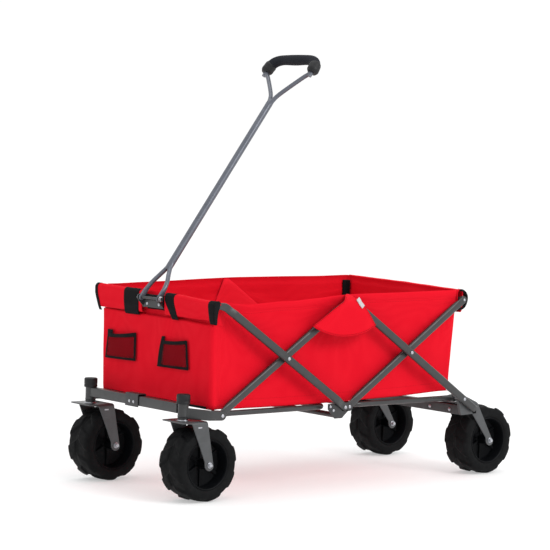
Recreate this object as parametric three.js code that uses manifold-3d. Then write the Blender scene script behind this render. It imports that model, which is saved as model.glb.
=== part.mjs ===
// A folding camp wagon: a fabric basket in a frame that folds lengthwise like a lattice, with two swivel
// casters in front, two fixed wheels behind and a pull handle. Millimetres; +X is the front end, +Y is
// the wagon's left side, +Z is up. The origin is on the ground, midway between the axles.
import * as THREE from "three";
import { mergeVertices } from "three/addons/utils/BufferGeometryUtils.js";
import Module from "manifold-3d";

const wasm = await Module();
wasm.setup();

// ---------- driving dimensions ----------
const FRONT_PIVOT_X = 480;
const REAR_PIVOT_X = -389.7;
const LOW_Z = 225.5;
const HIGH_Z = 506.6;
const HUB_HALF = 10; // half the distance between a hub's two pivots
const HUB_X = (FRONT_PIVOT_X + REAR_PIVOT_X) / 2;
const FRONT_HUB_X = HUB_X + HUB_HALF;
const REAR_HUB_X = HUB_X - HUB_HALF;

// Planes of the side bars, as |y|: inner bars, hub plates between them, outer bars.
const INNER_PLANE = [239, 253];
const OUTER_PLANE = [256, 270];
const HUB_PLATE = [253.3, 255.7];
const INNER_TONGUE = [247.7, 252.7];
const OUTER_TONGUE = [256.3, 261.3];
const BAR_WIDTH = 22;
const BAR_WALL = 1.5;
const TONGUE_RADIUS = 10;
const TONGUE_LENGTH = 30;
const TUBE_START = 15; // from a pivot to where the bar's round tube begins
const TAIL = 58; // how far an outer rear bar runs on past its lower pivot

const PIN_RADIUS = 4;
const HOLE_RADIUS = 4.5;
const HEAD_RADIUS = 6.2;
const HEAD_HEIGHT = 2.6;
const GAP = 0.3;

const WHEEL_RADIUS = 98.5;
const AXLE_X = 512.75;
const WHEEL_Y = 206;
const TYRE_HALF = 44;
const RIM_RADIUS = 66;
const WHEEL_SEGMENTS = 20;
const LUGS = 8;
const POST_X = 566;
const FORK_TOP = 213;
const FORK_PLATE = 6;
const FORK_LEG = 4;
const LEG_END = 15; // radius of a fork leg's round end
const FORK_INNER = 45.5; // from the wheel's middle to the inside of a fork leg
const AXLE_PIN = 5;

const RAIL_Y = 223.5; // floor rails
const RAIL_RADIUS = 7.5;
const RAIL_LENGTH = 385;

const FRONT_RAIL = [508, 510]; // the top rails' axes, in X and Z; the rear one is on a pivot
const TOP_RAIL_RADIUS = 7;

// The front wall hangs forward of its hem's inner side, with wider corners than the side walls.
const BASKET = {
  front: 497,
  frontBelly: 508,
  frontLow: 505,
  rear: -379,
  rearLow: -362,
  half: 236,
  halfLow: 228,
  cornerHalf: 243,
  flare: 42,
  top: 528,
  tuck: 469.6,
  belly: 462,
  bottom: 247,
  wall: 2.5,
  corner: 14,
};

const HANDLE_PIVOT = [528, 512];
const HANDLE_LEAN = 36.4;
const HANDLE_TUBE = 9.5;
const YOKE_HALF = 38;

// ---------- materials ----------
const paint = (name, color, roughness, metalness) =>
  new THREE.MeshStandardMaterial({ name, color, roughness, metalness });
const STEEL = paint("frame", 0x4e5052, 0.5, 0.5);
const HANDLE = paint("handle", 0x7d8291, 0.4, 0.6);
const ZINC = paint("zinc", 0xc9ccd0, 0.3, 0.9);
const BLACK = paint("black_plastic", 0x17181a, 0.6, 0);
const RUBBER = paint("rubber", 0x151617, 0.85, 0);
const RIM = paint("rim", 0x1d1f21, 0.5, 0);
const RED = paint("fabric", 0xd81226, 0.9, 0);
const MESH = paint("mesh", 0x3a1216, 0.9, 0);
const WEBBING = paint("webbing", 0x121214, 0.9, 0);
const FOAM = paint("foam", 0x1b1c1e, 0.95, 0);

// ---------- solids ----------
function solid(geometry) {
  const bare = geometry.index ? geometry.toNonIndexed() : geometry.clone();
  bare.deleteAttribute("normal");
  bare.deleteAttribute("uv");
  const merged = mergeVertices(bare, 1e-4);
  return new wasm.Manifold(
    new wasm.Mesh({
      numProp: 3,
      vertProperties: merged.attributes.position.array,
      triVerts: new Uint32Array(merged.index.array),
    }),
  );
}

function geometryOf(body) {
  const mesh = body.getMesh();
  const geometry = new THREE.BufferGeometry();
  geometry.setAttribute("position", new THREE.BufferAttribute(mesh.vertProperties, 3));
  geometry.setIndex(new THREE.BufferAttribute(mesh.triVerts, 1));
  const flat = geometry.toNonIndexed();
  flat.computeVertexNormals();
  return flat;
}

function join(...geometries) {
  return geometryOf(geometries.map(solid).reduce((a, b) => a.add(b)));
}

function cut(geometry, ...tools) {
  return geometryOf(tools.map(solid).reduce((a, b) => a.subtract(b), solid(geometry)));
}

function common(a, b) {
  return geometryOf(solid(a).intersect(solid(b)));
}

// A box between two opposite corners.
function box(x0, x1, y0, y1, z0, z1) {
  const geometry = new THREE.BoxGeometry(x1 - x0, y1 - y0, z1 - z0);
  return geometry.translate((x0 + x1) / 2, (y0 + y1) / 2, (z0 + z1) / 2);
}

// A round bar along Y, from y0 to y1; the radius at y1 may differ.
function barY(radius, x, z, y0, y1, segments = 10, endRadius = radius) {
  const geometry = new THREE.CylinderGeometry(endRadius, radius, y1 - y0, segments);
  return geometry.translate(x, (y0 + y1) / 2, z);
}

// A round bar along Z, from z0 to z1.
function barZ(radius, x, y, z0, z1, segments = 14) {
  const geometry = new THREE.CylinderGeometry(radius, radius, z1 - z0, segments);
  return geometry.rotateX(Math.PI / 2).translate(x, y, (z0 + z1) / 2);
}

// A shape drawn in X and Z, given a thickness from y0 to y1.
function plateY(shape, y0, y1, curveSegments = 6) {
  const geometry = new THREE.ExtrudeGeometry(shape, {
    depth: y1 - y0,
    bevelEnabled: false,
    curveSegments,
  });
  return geometry.rotateX(Math.PI / 2).translate(0, y1, 0);
}

// A shape drawn in X and Y, given a height from z0 to z1.
function plateZ(shape, z0, z1, curveSegments = 6) {
  const geometry = new THREE.ExtrudeGeometry(shape, {
    depth: z1 - z0,
    bevelEnabled: false,
    curveSegments,
  });
  return geometry.translate(0, 0, z0);
}

// A shape drawn in Y and Z, given a thickness from x0 to x1.
function plateX(shape, x0, x1, curveSegments = 6) {
  const geometry = new THREE.ExtrudeGeometry(shape, {
    depth: x1 - x0,
    bevelEnabled: false,
    curveSegments,
  });
  const turn = new THREE.Matrix4().makeBasis(
    new THREE.Vector3(0, 1, 0),
    new THREE.Vector3(0, 0, 1),
    new THREE.Vector3(1, 0, 0),
  );
  return geometry.applyMatrix4(turn).translate(x0, 0, 0);
}

function polygon(points) {
  return new THREE.Shape(points.map(([a, b]) => new THREE.Vector2(a, b)));
}

// The outline round two circles of one radius.
function stadium(x0, z0, x1, z1, radius, steps = 3) {
  const angle = Math.atan2(z1 - z0, x1 - x0);
  const points = [];
  for (let i = 0; i <= steps; i += 1) {
    const a = angle - Math.PI / 2 + (Math.PI * i) / steps;
    points.push([x1 + radius * Math.cos(a), z1 + radius * Math.sin(a)]);
  }
  for (let i = 0; i <= steps; i += 1) {
    const a = angle + Math.PI / 2 + (Math.PI * i) / steps;
    points.push([x0 + radius * Math.cos(a), z0 + radius * Math.sin(a)]);
  }
  return polygon(points);
}

function roundedRectangle(width, height, radius, steps = 1) {
  const points = [];
  const corners = [
    [width / 2 - radius, -height / 2 + radius, -90],
    [width / 2 - radius, height / 2 - radius, 0],
    [-width / 2 + radius, height / 2 - radius, 90],
    [-width / 2 + radius, -height / 2 + radius, 180],
  ];
  for (const [cx, cy, start] of corners) {
    for (let i = 0; i <= steps; i += 1) {
      const a = THREE.MathUtils.degToRad(start + (90 * i) / steps);
      points.push([cx + radius * Math.cos(a), cy + radius * Math.sin(a)]);
    }
  }
  return polygon(points);
}

// A round tube or rod along a smooth path.
function rod(points, radius, segments = 12, steps = 24, bore = 0) {
  const outline = new THREE.Shape().absarc(0, 0, radius, 0, Math.PI * 2);
  if (bore > 0) {
    outline.holes.push(new THREE.Path().absarc(0, 0, bore, 0, Math.PI * 2, true));
  }
  const path = new THREE.CatmullRomCurve3(
    points.map((p) => new THREE.Vector3(...p)),
    false,
    "centripetal",
  );
  return new THREE.ExtrudeGeometry(outline, {
    extrudePath: path,
    steps,
    curveSegments: segments,
    bevelEnabled: false,
  });
}

// A ring or disc turned about the Y axis from its half section, in [radius, y] pairs.
function turned(points, segments = 32) {
  return new THREE.LatheGeometry(
    points.map(([r, y]) => new THREE.Vector2(r, y)),
    segments,
  );
}

// The same solid on the other side of the wagon.
function mirrored(geometry) {
  return geometryOf(solid(geometry).mirror([0, 1, 0]));
}

// A rivet along Y through |y| from inner to outer, with a domed head on each end.
function rivet(x, z, inner, outer, innerHead = HEAD_RADIUS) {
  return join(
    barY(PIN_RADIUS, x, z, inner - HEAD_HEIGHT + 1, outer + HEAD_HEIGHT - 1, 8),
    barY(innerHead * 0.7, x, z, inner - HEAD_HEIGHT, inner - GAP, 8, innerHead),
    barY(HEAD_RADIUS, x, z, outer + GAP, outer + HEAD_HEIGHT, 8, HEAD_RADIUS * 0.7),
  );
}

// ---------- one side bar ----------
// A flattened-end tube from one pivot to another, drilled for its neighbours' rivets and carrying its own.
function sideBar({ from, to, plane, tongue, drilled = [], rivets, tail = 0 }) {
  const length = Math.hypot(to[0] - from[0], to[1] - from[1]);
  const middle = (plane[0] + plane[1]) / 2;
  const depth = plane[1] - plane[0];
  const tubeEnd = tail > 0 ? length + tail : length - TUBE_START;
  const outline = roundedRectangle(depth, BAR_WIDTH, depth / 2 - 1);
  const inside = roundedRectangle(
    depth - 2 * BAR_WALL,
    BAR_WIDTH - 2 * BAR_WALL,
    depth / 2 - 1 - BAR_WALL,
  );
  outline.holes.push(inside);
  const tube = plateX(outline, TUBE_START, tubeEnd).translate(0, middle, 0);
  const pieces = [
    tube,
    plateY(stadium(0, 0, TONGUE_LENGTH, 0, TONGUE_RADIUS), tongue[0], tongue[1]),
  ];
  if (tail > 0) {
    pieces.push(
      plateX(roundedRectangle(depth, BAR_WIDTH, depth / 2 - 1), tubeEnd - 3, tubeEnd)
        .translate(0, middle, 0),
    );
  } else {
    const last = stadium(length - TONGUE_LENGTH, 0, length, 0, TONGUE_RADIUS);
    pieces.push(plateY(last, tongue[0], tongue[1]));
  }
  const angle = Math.atan2(to[1] - from[1], to[0] - from[0]);
  const placed = join(...pieces).rotateY(-angle).translate(from[0], 0, from[1]);
  const holes = drilled.map(([x, z]) =>
    barY(HOLE_RADIUS, x, z, plane[0] - 1, plane[1] + 1),
  );
  return join(cut(placed, ...holes), ...rivets);
}

const middleOf = (a, b) => [(a[0] + b[0]) / 2, (a[1] + b[1]) / 2];
const frontLow = [FRONT_PIVOT_X, LOW_Z];
const frontHigh = [FRONT_PIVOT_X, HIGH_Z];
const frontHubLow = [FRONT_HUB_X, LOW_Z];
const frontHubHigh = [FRONT_HUB_X, HIGH_Z];
const rearHubLow = [REAR_HUB_X, LOW_Z];
const rearHubHigh = [REAR_HUB_X, HIGH_Z];
const rearLow = [REAR_PIVOT_X, LOW_Z];
const rearHigh = [REAR_PIVOT_X, HIGH_Z];
const frontCross = middleOf(frontLow, frontHubHigh);
const rearCross = middleOf(rearLow, rearHubHigh);

const crossRivet = (at) => rivet(...at, INNER_PLANE[0], OUTER_PLANE[1]);
const FRONT_RAIL_END = [249.5, 255.3];
const FRONT_EYE = 7.6; // smaller than the other eyes: the hem's end slips over it
const REAR_RAIL_END = [241.5, 246.5];
const RAIL_RIVET_HEAD = PIN_RADIUS + 0.8;
const REAR_CHEEK = [247, 255.5];

const frontInnerBar = sideBar({
  from: frontLow,
  to: frontHubHigh,
  plane: INNER_PLANE,
  tongue: INNER_TONGUE,
  drilled: [frontLow],
  rivets: [
    crossRivet(frontCross),
    rivet(...frontHubHigh, INNER_TONGUE[0], HUB_PLATE[1]),
  ],
});
// Its upper tongue bends over to reach the end of the front top rail.
const frontOuterBar = sideBar({
  from: frontHubLow,
  to: frontHigh,
  plane: OUTER_PLANE,
  tongue: OUTER_TONGUE,
  drilled: [frontCross],
  rivets: [
    rivet(...frontHubLow, HUB_PLATE[0], OUTER_TONGUE[1]),
    plateY(stadium(...frontHigh, ...FRONT_RAIL, FRONT_EYE), ...OUTER_TONGUE),
    rivet(...FRONT_RAIL, FRONT_RAIL_END[0], OUTER_TONGUE[1], RAIL_RIVET_HEAD),
  ],
});
const rearInnerBar = sideBar({
  from: rearHubLow,
  to: rearHigh,
  plane: INNER_PLANE,
  tongue: INNER_TONGUE,
  drilled: [rearCross],
  rivets: [
    rivet(...rearHubLow, INNER_TONGUE[0], HUB_PLATE[1]),
    rivet(...rearHigh, REAR_RAIL_END[0], INNER_TONGUE[1], RAIL_RIVET_HEAD),
  ],
});
const rearOuterBar = sideBar({
  from: rearHubHigh,
  to: rearLow,
  plane: OUTER_PLANE,
  tongue: OUTER_TONGUE,
  rivets: [
    crossRivet(rearCross),
    rivet(...rearHubHigh, HUB_PLATE[0], OUTER_TONGUE[1]),
    rivet(...rearLow, RAIL_Y - RAIL_RADIUS, OUTER_PLANE[1]),
  ],
  tail: TAIL,
});

// ---------- hubs ----------
const HUB_RADIUS = 12;
const STRUT = [75, 203];
const STRUT_RADIUS = 7.5;
const hubHoles = (z) => [
  barY(HOLE_RADIUS, FRONT_HUB_X, z, 250, 259),
  barY(HOLE_RADIUS, REAR_HUB_X, z, 250, 259),
];
const bottomHub = cut(
  join(
    plateY(stadium(REAR_HUB_X, LOW_Z, FRONT_HUB_X, LOW_Z, HUB_RADIUS), ...HUB_PLATE),
    plateY(
      polygon([[40, 214], [62, 195.5], [88, 195.5], [113, 222], [113, 236.5], [50, 236.5]]),
      ...HUB_PLATE,
    ),
    barY(3.5, 104, 229, HUB_PLATE[1] - 0.5, HUB_PLATE[1] + 1.6, 10, 2),
    barY(3.5, 93, 218, HUB_PLATE[1] - 0.5, HUB_PLATE[1] + 1.6, 10, 2),
  ),
  ...hubHoles(LOW_Z),
);
const topHub = cut(
  plateY(stadium(REAR_HUB_X, HIGH_Z, FRONT_HUB_X, HIGH_Z, HUB_RADIUS), ...HUB_PLATE),
  ...hubHoles(HIGH_Z),
);
const strutEnd = HUB_PLATE[0] - GAP;
const centreStrut = cut(
  barY(STRUT_RADIUS, ...STRUT, -strutEnd, strutEnd, 16),
  barY(STRUT_RADIUS - BAR_WALL, ...STRUT, -strutEnd - 1, strutEnd + 1, 16),
);

// ---------- front base ----------
const POST_RADIUS = 14;
const POST_BORE = 8.5;
const ARM = [254, 262];
const post = barZ(POST_RADIUS, POST_X, WHEEL_Y, 216, 262);
const armPlan = plateZ(
  polygon([
    [POST_X - 6, WHEEL_Y + 4],
    [POST_X + 4, WHEEL_Y + 8],
    [528, ARM[1]],
    [460, ARM[1]],
    [460, ARM[0]],
    [523, ARM[0]],
  ]),
  205,
  255,
);
const armSide = plateY(
  polygon([
    [POST_X + 8, 218],
    [POST_X + 8, 247],
    ...[0, 1, 2, 3, 4, 5, 6].map((i) => {
      const a = Math.PI / 2 + (Math.PI * i) / 6;
      return [FRONT_PIVOT_X + 12.5 * Math.cos(a), LOW_Z + 12.5 * Math.sin(a)];
    }),
  ]),
  180,
  275,
);
const cornerPost = join(
  cut(join(post, common(armPlan, armSide)), barZ(POST_BORE, POST_X, WHEEL_Y, 200, 280)),
  rivet(...frontLow, RAIL_Y - RAIL_RADIUS, ARM[1]),
);
const CROSSBAR_HALF = WHEEL_Y - POST_RADIUS - GAP;
const frontCrossbar = cut(
  box(POST_X - 11, POST_X + 11, -CROSSBAR_HALF, CROSSBAR_HALF, 230, 256),
  box(POST_X - 9.2, POST_X + 9.2, -CROSSBAR_HALF - 1, CROSSBAR_HALF + 1, 231.8, 254.2),
);
const CAP_RADIUS = 18;
const capOnPost = cut(
  barZ(CAP_RADIUS, POST_X, WHEEL_Y, 256, 281),
  barZ(POST_RADIUS + GAP, POST_X, WHEEL_Y, 255, 262 + GAP),
);
const capNotch = box(POST_X - 12, POST_X + 12, 180, CROSSBAR_HALF + GAP, 250, 257);
const postCap = cut(capOnPost, capNotch);
const faceRivet = (x, y, z) =>
  new THREE.CylinderGeometry(2.4, 4, 2.4, 10).rotateZ(-Math.PI / 2).translate(x + 1, y, z);
const centreBracket = join(
  cut(
    box(POST_X - 14, POST_X + 14, -28, 28, 227, 262),
    box(POST_X - 11 - GAP, POST_X + 11 + GAP, -30, 30, 226, 256 + GAP),
  ),
  faceRivet(POST_X + 14, -9, 240),
  faceRivet(POST_X + 14, 9, 240),
);

// ---------- wheels ----------
// Lugs stand in two rows, one on each shoulder, half a step apart.
function lugRow(row) {
  const made = [];
  for (let i = 0; i < LUGS; i += 1) {
    const outline = polygon([
      [-11 * row, 2],
      [3 * row, 2],
      [9 * row, 42.5],
      [-7 * row, 42.5],
    ].map(([x, y]) => [x, y * row]));
    const lug = plateZ(outline, -WHEEL_RADIUS, -84);
    const shift = row > 0 ? 0 : 0.5;
    made.push(lug.rotateY(((i + shift) / LUGS) * Math.PI * 2));
  }
  return made;
}

const TYRE_SECTION = [
  [RIM_RADIUS + GAP, -40],
  [76, -TYRE_HALF],
  [89, -TYRE_HALF],
  [94, -37],
  [94, 37],
  [89, TYRE_HALF],
  [76, TYRE_HALF],
  [RIM_RADIUS + GAP, 40],
  [RIM_RADIUS + GAP, -40],
];
const tyreBody = turned(TYRE_SECTION, WHEEL_SEGMENTS);
const wheelTyre = join(tyreBody, ...lugRow(1), ...lugRow(-1));

const HUB_BORE = AXLE_PIN + 0.4;
const RIM_SECTION = [
  [HUB_BORE, -43],
  [15, -43],
  [16, -7],
  [60, -7],
  [62, -40],
  [RIM_RADIUS, -40],
  [RIM_RADIUS, 40],
  [62, 40],
  [60, 7],
  [16, 7],
  [15, 43],
  [HUB_BORE, 43],
  [HUB_BORE, -43],
];
const wheelRim = turned(RIM_SECTION, WHEEL_SEGMENTS);

// ---------- forks ----------
// Both forks hold the wheel from above; legTop is where a leg leaves the top plate, in X.
function forkShell(axleX, legTop, plateRange) {
  const leg = polygon([
    [legTop[0], FORK_TOP],
    ...[0, 1, 2, 3, 4, 5, 6].map((i) => {
      const a = Math.PI + (Math.PI * i) / 6 + 0.35;
      return [axleX + LEG_END * Math.cos(a), WHEEL_RADIUS + LEG_END * Math.sin(a)];
    }),
    [legTop[1], FORK_TOP],
  ]);
  const outside = FORK_INNER + FORK_LEG;
  const sides = [-1, 1].map((side) => {
    const low = side > 0 ? FORK_INNER : -outside;
    return plateY(leg, WHEEL_Y + low, WHEEL_Y + low + FORK_LEG);
  });
  const top = box(
    plateRange[0],
    plateRange[1],
    WHEEL_Y - outside,
    WHEEL_Y + outside,
    FORK_TOP - FORK_PLATE,
    FORK_TOP,
  );
  const bore = barY(AXLE_PIN + GAP, axleX, WHEEL_RADIUS, WHEEL_Y - 60, WHEEL_Y + 60, 16);
  return cut(join(...sides, top), bore);
}

const casterFork = join(
  forkShell(AXLE_X, [522, 572], [522, 592]),
  barZ(POST_RADIUS, POST_X, WHEEL_Y, FORK_TOP - 1, 215.4),
  barZ(POST_BORE - 0.5, POST_X, WHEEL_Y, FORK_TOP - 1, 255),
);
const rearCheek = cut(
  plateY(
    polygon([
      [REAR_PIVOT_X + 12, LOW_Z - 4],
      [REAR_PIVOT_X + 8, LOW_Z + 10],
      [REAR_PIVOT_X - 6, LOW_Z + 11],
      [-452, FORK_TOP],
      [-452, 180],
      [-392, 178],
    ]),
    REAR_CHEEK[0],
    WHEEL_Y + FORK_INNER + FORK_LEG,
  ),
  barY(HOLE_RADIUS, ...rearLow, 240, 260),
);
const rearFork = join(forkShell(-AXLE_X, [-450, -414], [-452, -392]), rearCheek);

const BOLT_HEAD = 7.5;
const axleBolt = (x) => {
  const outside = FORK_INNER + FORK_LEG + GAP;
  return join(
    barY(AXLE_PIN, x, WHEEL_RADIUS, WHEEL_Y - outside - 9, WHEEL_Y + outside + 4, 16),
    barY(BOLT_HEAD, x, WHEEL_RADIUS, WHEEL_Y + outside, WHEEL_Y + outside + 7, 12, 5),
    barY(BOLT_HEAD, x, WHEEL_RADIUS, WHEEL_Y - outside - 7, WHEEL_Y - outside, 6),
  );
};

// ---------- rear base ----------
const rearBarHalf = REAR_CHEEK[0] - GAP;
const rearCrossbar = join(
  cut(
    box(-413, -391, -rearBarHalf, rearBarHalf, 178, 206.7),
    box(-411.2, -392.8, -rearBarHalf - 1, rearBarHalf + 1, 179.8, 204.9),
  ),
  ...[-208, -128, 128, 208].map((y) => faceRivet(-391, y, 190)),
);

// ---------- floor rails ----------
// A U of tube: two rails and the cross tube at their free end, with an eye round each pivot.
function floorFrame(pivotX, direction) {
  const end = pivotX + direction * RAIL_LENGTH;
  const bend = 30;
  const path = [];
  const from = pivotX + direction * 8;
  const corner = (side) =>
    [0, 1, 2, 3].map((i) => {
      const a = (Math.PI / 2) * (i / 3);
      return [
        end - direction * bend + direction * bend * Math.sin(a),
        side * (RAIL_Y - bend + bend * Math.cos(a)),
        LOW_Z,
      ];
    });
  path.push([from, RAIL_Y, LOW_Z], ...corner(1), ...corner(-1).reverse(), [from, -RAIL_Y, LOW_Z]);
  const pieces = [];
  for (let i = 1; i < path.length; i += 1) {
    const a = new THREE.Vector3(...path[i - 1]);
    const b = new THREE.Vector3(...path[i]);
    const span = a.distanceTo(b);
    const piece = new THREE.CylinderGeometry(RAIL_RADIUS, RAIL_RADIUS, span, 8);
    const turn = new THREE.Quaternion().setFromUnitVectors(
      new THREE.Vector3(0, 1, 0),
      b.clone().sub(a).normalize(),
    );
    piece.applyQuaternion(turn).translate(...a.clone().add(b).divideScalar(2).toArray());
    pieces.push(piece);
  }
  const eyes = [-1, 1].map((side) => {
    const y0 = side > 0 ? RAIL_Y - RAIL_RADIUS : -RAIL_Y - RAIL_RADIUS;
    return barY(11, pivotX, LOW_Z, y0, y0 + 2 * RAIL_RADIUS, 16);
  });
  return cut(
    join(...pieces, ...eyes),
    barY(HOLE_RADIUS, pivotX, LOW_Z, -RAIL_Y - 12, RAIL_Y + 12),
  );
}

// ---------- top rails ----------
// A tube with closed ends and an eye for a rivet at each end.
function topRail([x, z], [eyeStart, eyeEnd], eyeRadius) {
  const half = eyeStart + 1.5;
  const bore = eyeStart - 0.1;
  return cut(
    join(
      barY(TOP_RAIL_RADIUS, x, z, -half, half, 16),
      barY(eyeRadius, x, z, eyeStart, eyeEnd, 16),
      barY(eyeRadius, x, z, -eyeEnd, -eyeStart, 16),
    ),
    barY(TOP_RAIL_RADIUS - BAR_WALL, x, z, -bore, bore, 16),
    barY(HOLE_RADIUS, x, z, -260, 260),
  );
}
const frontTopRail = topRail(FRONT_RAIL, FRONT_RAIL_END, FRONT_EYE);
const rearTopRail = topRail(rearHigh, REAR_RAIL_END, TONGUE_RADIUS);

// ---------- basket ----------
// Walls and floor in one skin, open at the top, with rounded upright corners.
function ring(x0, x1, half, cornerHalf, z, inset = 0) {
  const radius = BASKET.corner - inset;
  const rearX = x0 + BASKET.corner;
  const frontX = x1 - BASKET.corner;
  const flareX = x1 - BASKET.flare;
  const rearY = half - BASKET.corner;
  const frontY = cornerHalf - BASKET.corner;
  const round = (cx, cy, start) =>
    [0, 1, 2, 3].map((i) => {
      const a = THREE.MathUtils.degToRad(start + 30 * i);
      return [cx + radius * Math.cos(a), cy + radius * Math.sin(a), z];
    });
  return [
    ...round(frontX, frontY, 0),
    [flareX, half - inset, z],
    ...round(rearX, rearY, 90),
    ...round(rearX, -rearY, 180),
    [flareX, -half + inset, z],
    ...round(frontX, -frontY, 270),
  ];
}

// A closed solid through rings of the same number of points, with a flat cap at each end. Each cap is a
// fan from the point that its ring surrounds.
function loft(rings) {
  const count = rings[0].length;
  const middle = (ring) => [0, 1, 2].map((k) => ring.reduce((sum, p) => sum + p[k], 0) / count);
  const positions = [...rings.flat(), middle(rings[0]), middle(rings.at(-1))];
  const lowMiddle = positions.length - 2;
  const highMiddle = positions.length - 1;
  const last = (rings.length - 1) * count;
  const faces = [];
  for (let r = 0; r + 1 < rings.length; r += 1) {
    for (let i = 0; i < count; i += 1) {
      const a = r * count + i;
      const b = r * count + ((i + 1) % count);
      faces.push(a, b, b + count, a, b + count, a + count);
    }
  }
  for (let i = 0; i < count; i += 1) {
    const next = (i + 1) % count;
    faces.push(lowMiddle, next, i);
    faces.push(highMiddle, last + i, last + next);
  }
  const geometry = new THREE.BufferGeometry();
  geometry.setAttribute(
    "position",
    new THREE.Float32BufferAttribute(positions.flat(), 3),
  );
  geometry.setIndex(faces);
  return geometry;
}

const wallRings = (inset, floor) => {
  const { rear, rearLow, front, frontLow, frontBelly, half, halfLow, cornerHalf } = BASKET;
  const share = (BASKET.belly - BASKET.bottom) / (BASKET.top - BASKET.bottom);
  const bellyRear = THREE.MathUtils.lerp(rearLow, rear, share);
  const bellyHalf = THREE.MathUtils.lerp(halfLow, half, share);
  return [
    ring(rearLow, frontLow, halfLow, cornerHalf - 1, floor, inset),
    ring(bellyRear, frontBelly, bellyHalf, cornerHalf + 1, BASKET.belly, inset),
    ring(bellyRear, front, bellyHalf, cornerHalf, BASKET.tuck, inset),
    ring(rear, front, half, cornerHalf, BASKET.top, inset),
  ];
};
const basket = loft([
  ...wallRings(0, BASKET.bottom),
  ...wallRings(BASKET.wall, BASKET.bottom + BASKET.wall).reverse(),
]);

// ---------- sewn-on pieces ----------
const HEM_LOW = 470;
const HEM_TOP = BASKET.top;
// The front hem is a sleeve over the rail, whose ends slip over the bars' ends. It is cut away in the
// middle for the handle, and its inner side stops short of the bars.
const HEM_END = 263.5;
const HEM_INNER_END = 246;
const frontHem = cut(
  box(BASKET.front + 0.4, 518.8, -HEM_END, HEM_END, HEM_LOW, HEM_TOP),
  box(500.4, 516, -HEM_END - 1, HEM_END + 1, HEM_LOW - 1, HEM_TOP - 3),
  box(496, 501, HEM_INNER_END, HEM_END + 1, HEM_LOW - 1, HEM_TOP - 3),
  box(496, 501, -HEM_END - 1, -HEM_INNER_END, HEM_LOW - 1, HEM_TOP - 3),
  box(500.4, 520, -52, 52, HEM_LOW - 1, HEM_TOP + 1),
);
const rearHem = cut(
  box(-401.2, BASKET.rear - 0.4, -222, 222, HEM_LOW, HEM_TOP),
  box(-398.4, -381.8, -225, 225, HEM_LOW - 1, HEM_TOP - 3),
);
const STRAP = 2;
function hemStrap(y0, y1) {
  return cut(
    box(BASKET.front - 4, 519.1 + STRAP, y0, y1, 464, HEM_TOP + GAP + STRAP),
    box(BASKET.front - 5, 519.1, y0 - 1, y1 + 1, 460, HEM_TOP + GAP),
  );
}
const loopArc = (radius, from, to, steps) => {
  const points = [];
  for (let i = 0; i <= steps; i += 1) {
    const a = THREE.MathUtils.degToRad(from + ((to - from) * i) / steps);
    points.push([rearHigh[0] + radius * Math.cos(a), rearHigh[1] + radius * Math.sin(a)]);
  }
  return points;
};
const cornerLoop = plateY(
  polygon([...loopArc(30, 100, 255, 12), ...loopArc(27.5, 100, 255, 12).reverse()]),
  224,
  238.3,
);

// A pocket is a shallow bag, open at the top, sewn to the front wall.
const POCKET_X = [BASKET.frontBelly + 0.6, BASKET.frontBelly + 13];
function pocket(y0, y1) {
  return cut(
    box(POCKET_X[0], POCKET_X[1], y0, y1, 335, 411),
    box(POCKET_X[0] + 2, POCKET_X[1] - 2, y0 + 2, y1 - 2, 337, 420),
  );
}

const FLAP = [275.6, 278];
const flapPanel = polygon([
  [-40, 448],
  [0, 431],
  [45, 418],
  [95, 420],
  [145, 429],
  [186, 451],
  [88, 534],
  [36, 534],
]);
const sideFlap = join(
  plateY(flapPanel, ...FLAP),
  box(36, 88, BASKET.half + 3.3, FLAP[1], 531, 534),
);

// ---------- handle ----------
// Modelled upright from its pivot, then leaned back.
const TUBE_LOW = 96;
const TUBE_HIGH = 664;
const GRIP_AT = 806;
function lean(geometry) {
  return geometry
    .rotateY(-THREE.MathUtils.degToRad(HANDLE_LEAN))
    .translate(HANDLE_PIVOT[0], 0, HANDLE_PIVOT[1]);
}
const GRIP_HALF = 97;
const gripCore = new THREE.CatmullRomCurve3(
  [
    [-GRIP_HALF, -56],
    [-GRIP_HALF, -34],
    [-88, -11],
    [-60, 0],
    [60, 0],
    [88, -11],
    [GRIP_HALF, -34],
    [GRIP_HALF, -56],
  ].map(([y, z]) => new THREE.Vector3(0, y, GRIP_AT + z)),
  false,
  "centripetal",
)
  .getSpacedPoints(20)
  .map((point) => point.toArray());
const yokeArm = join(
  plateY(stadium(0, 0, 0, 26, 8.5), YOKE_HALF - 2.5, YOKE_HALF + 2.5),
  rod(
    [
      [0, YOKE_HALF, 20],
      [0, YOKE_HALF - 3, 44],
      [0, 17, 78],
      [0, 4, TUBE_LOW + 14],
    ],
    6,
    3,
    5,
  ),
);
const forkArm = rod(
  [
    [0, 4, TUBE_HIGH - 14],
    [0, 18, TUBE_HIGH + 22],
    [0, 72, TUBE_HIGH + 78],
    [0, 93, GRIP_AT - 48],
    [0, GRIP_HALF, GRIP_AT - 38],
  ],
  6,
  3,
  7,
);
const handleTube = plateZ(
  (() => {
    const outline = new THREE.Shape().absarc(0, 0, HANDLE_TUBE, 0, Math.PI * 2);
    outline.holes.push(
      new THREE.Path().absarc(0, 0, HANDLE_TUBE - BAR_WALL, 0, Math.PI * 2, true),
    );
    return outline;
  })(),
  TUBE_LOW,
  TUBE_HIGH,
  6,
);
const handleFrame = cut(
  join(
    handleTube,
    yokeArm,
    mirrored(yokeArm),
    forkArm,
    mirrored(forkArm),
    rod(gripCore, 6, 3, 20),
  ),
  barY(HOLE_RADIUS, 0, 0, -60, 60),
);
const FOAM_RADIUS = 15;
const FOAM_BORE = 7.2;
const foamLine = gripCore.slice(3, 18);
const handleGrip = rod(foamLine, FOAM_RADIUS, 5, 14, FOAM_BORE);
const pastFoam = gripCore[17].map((value, i) => value * 0.92 + gripCore[18][i] * 0.08);
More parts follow.
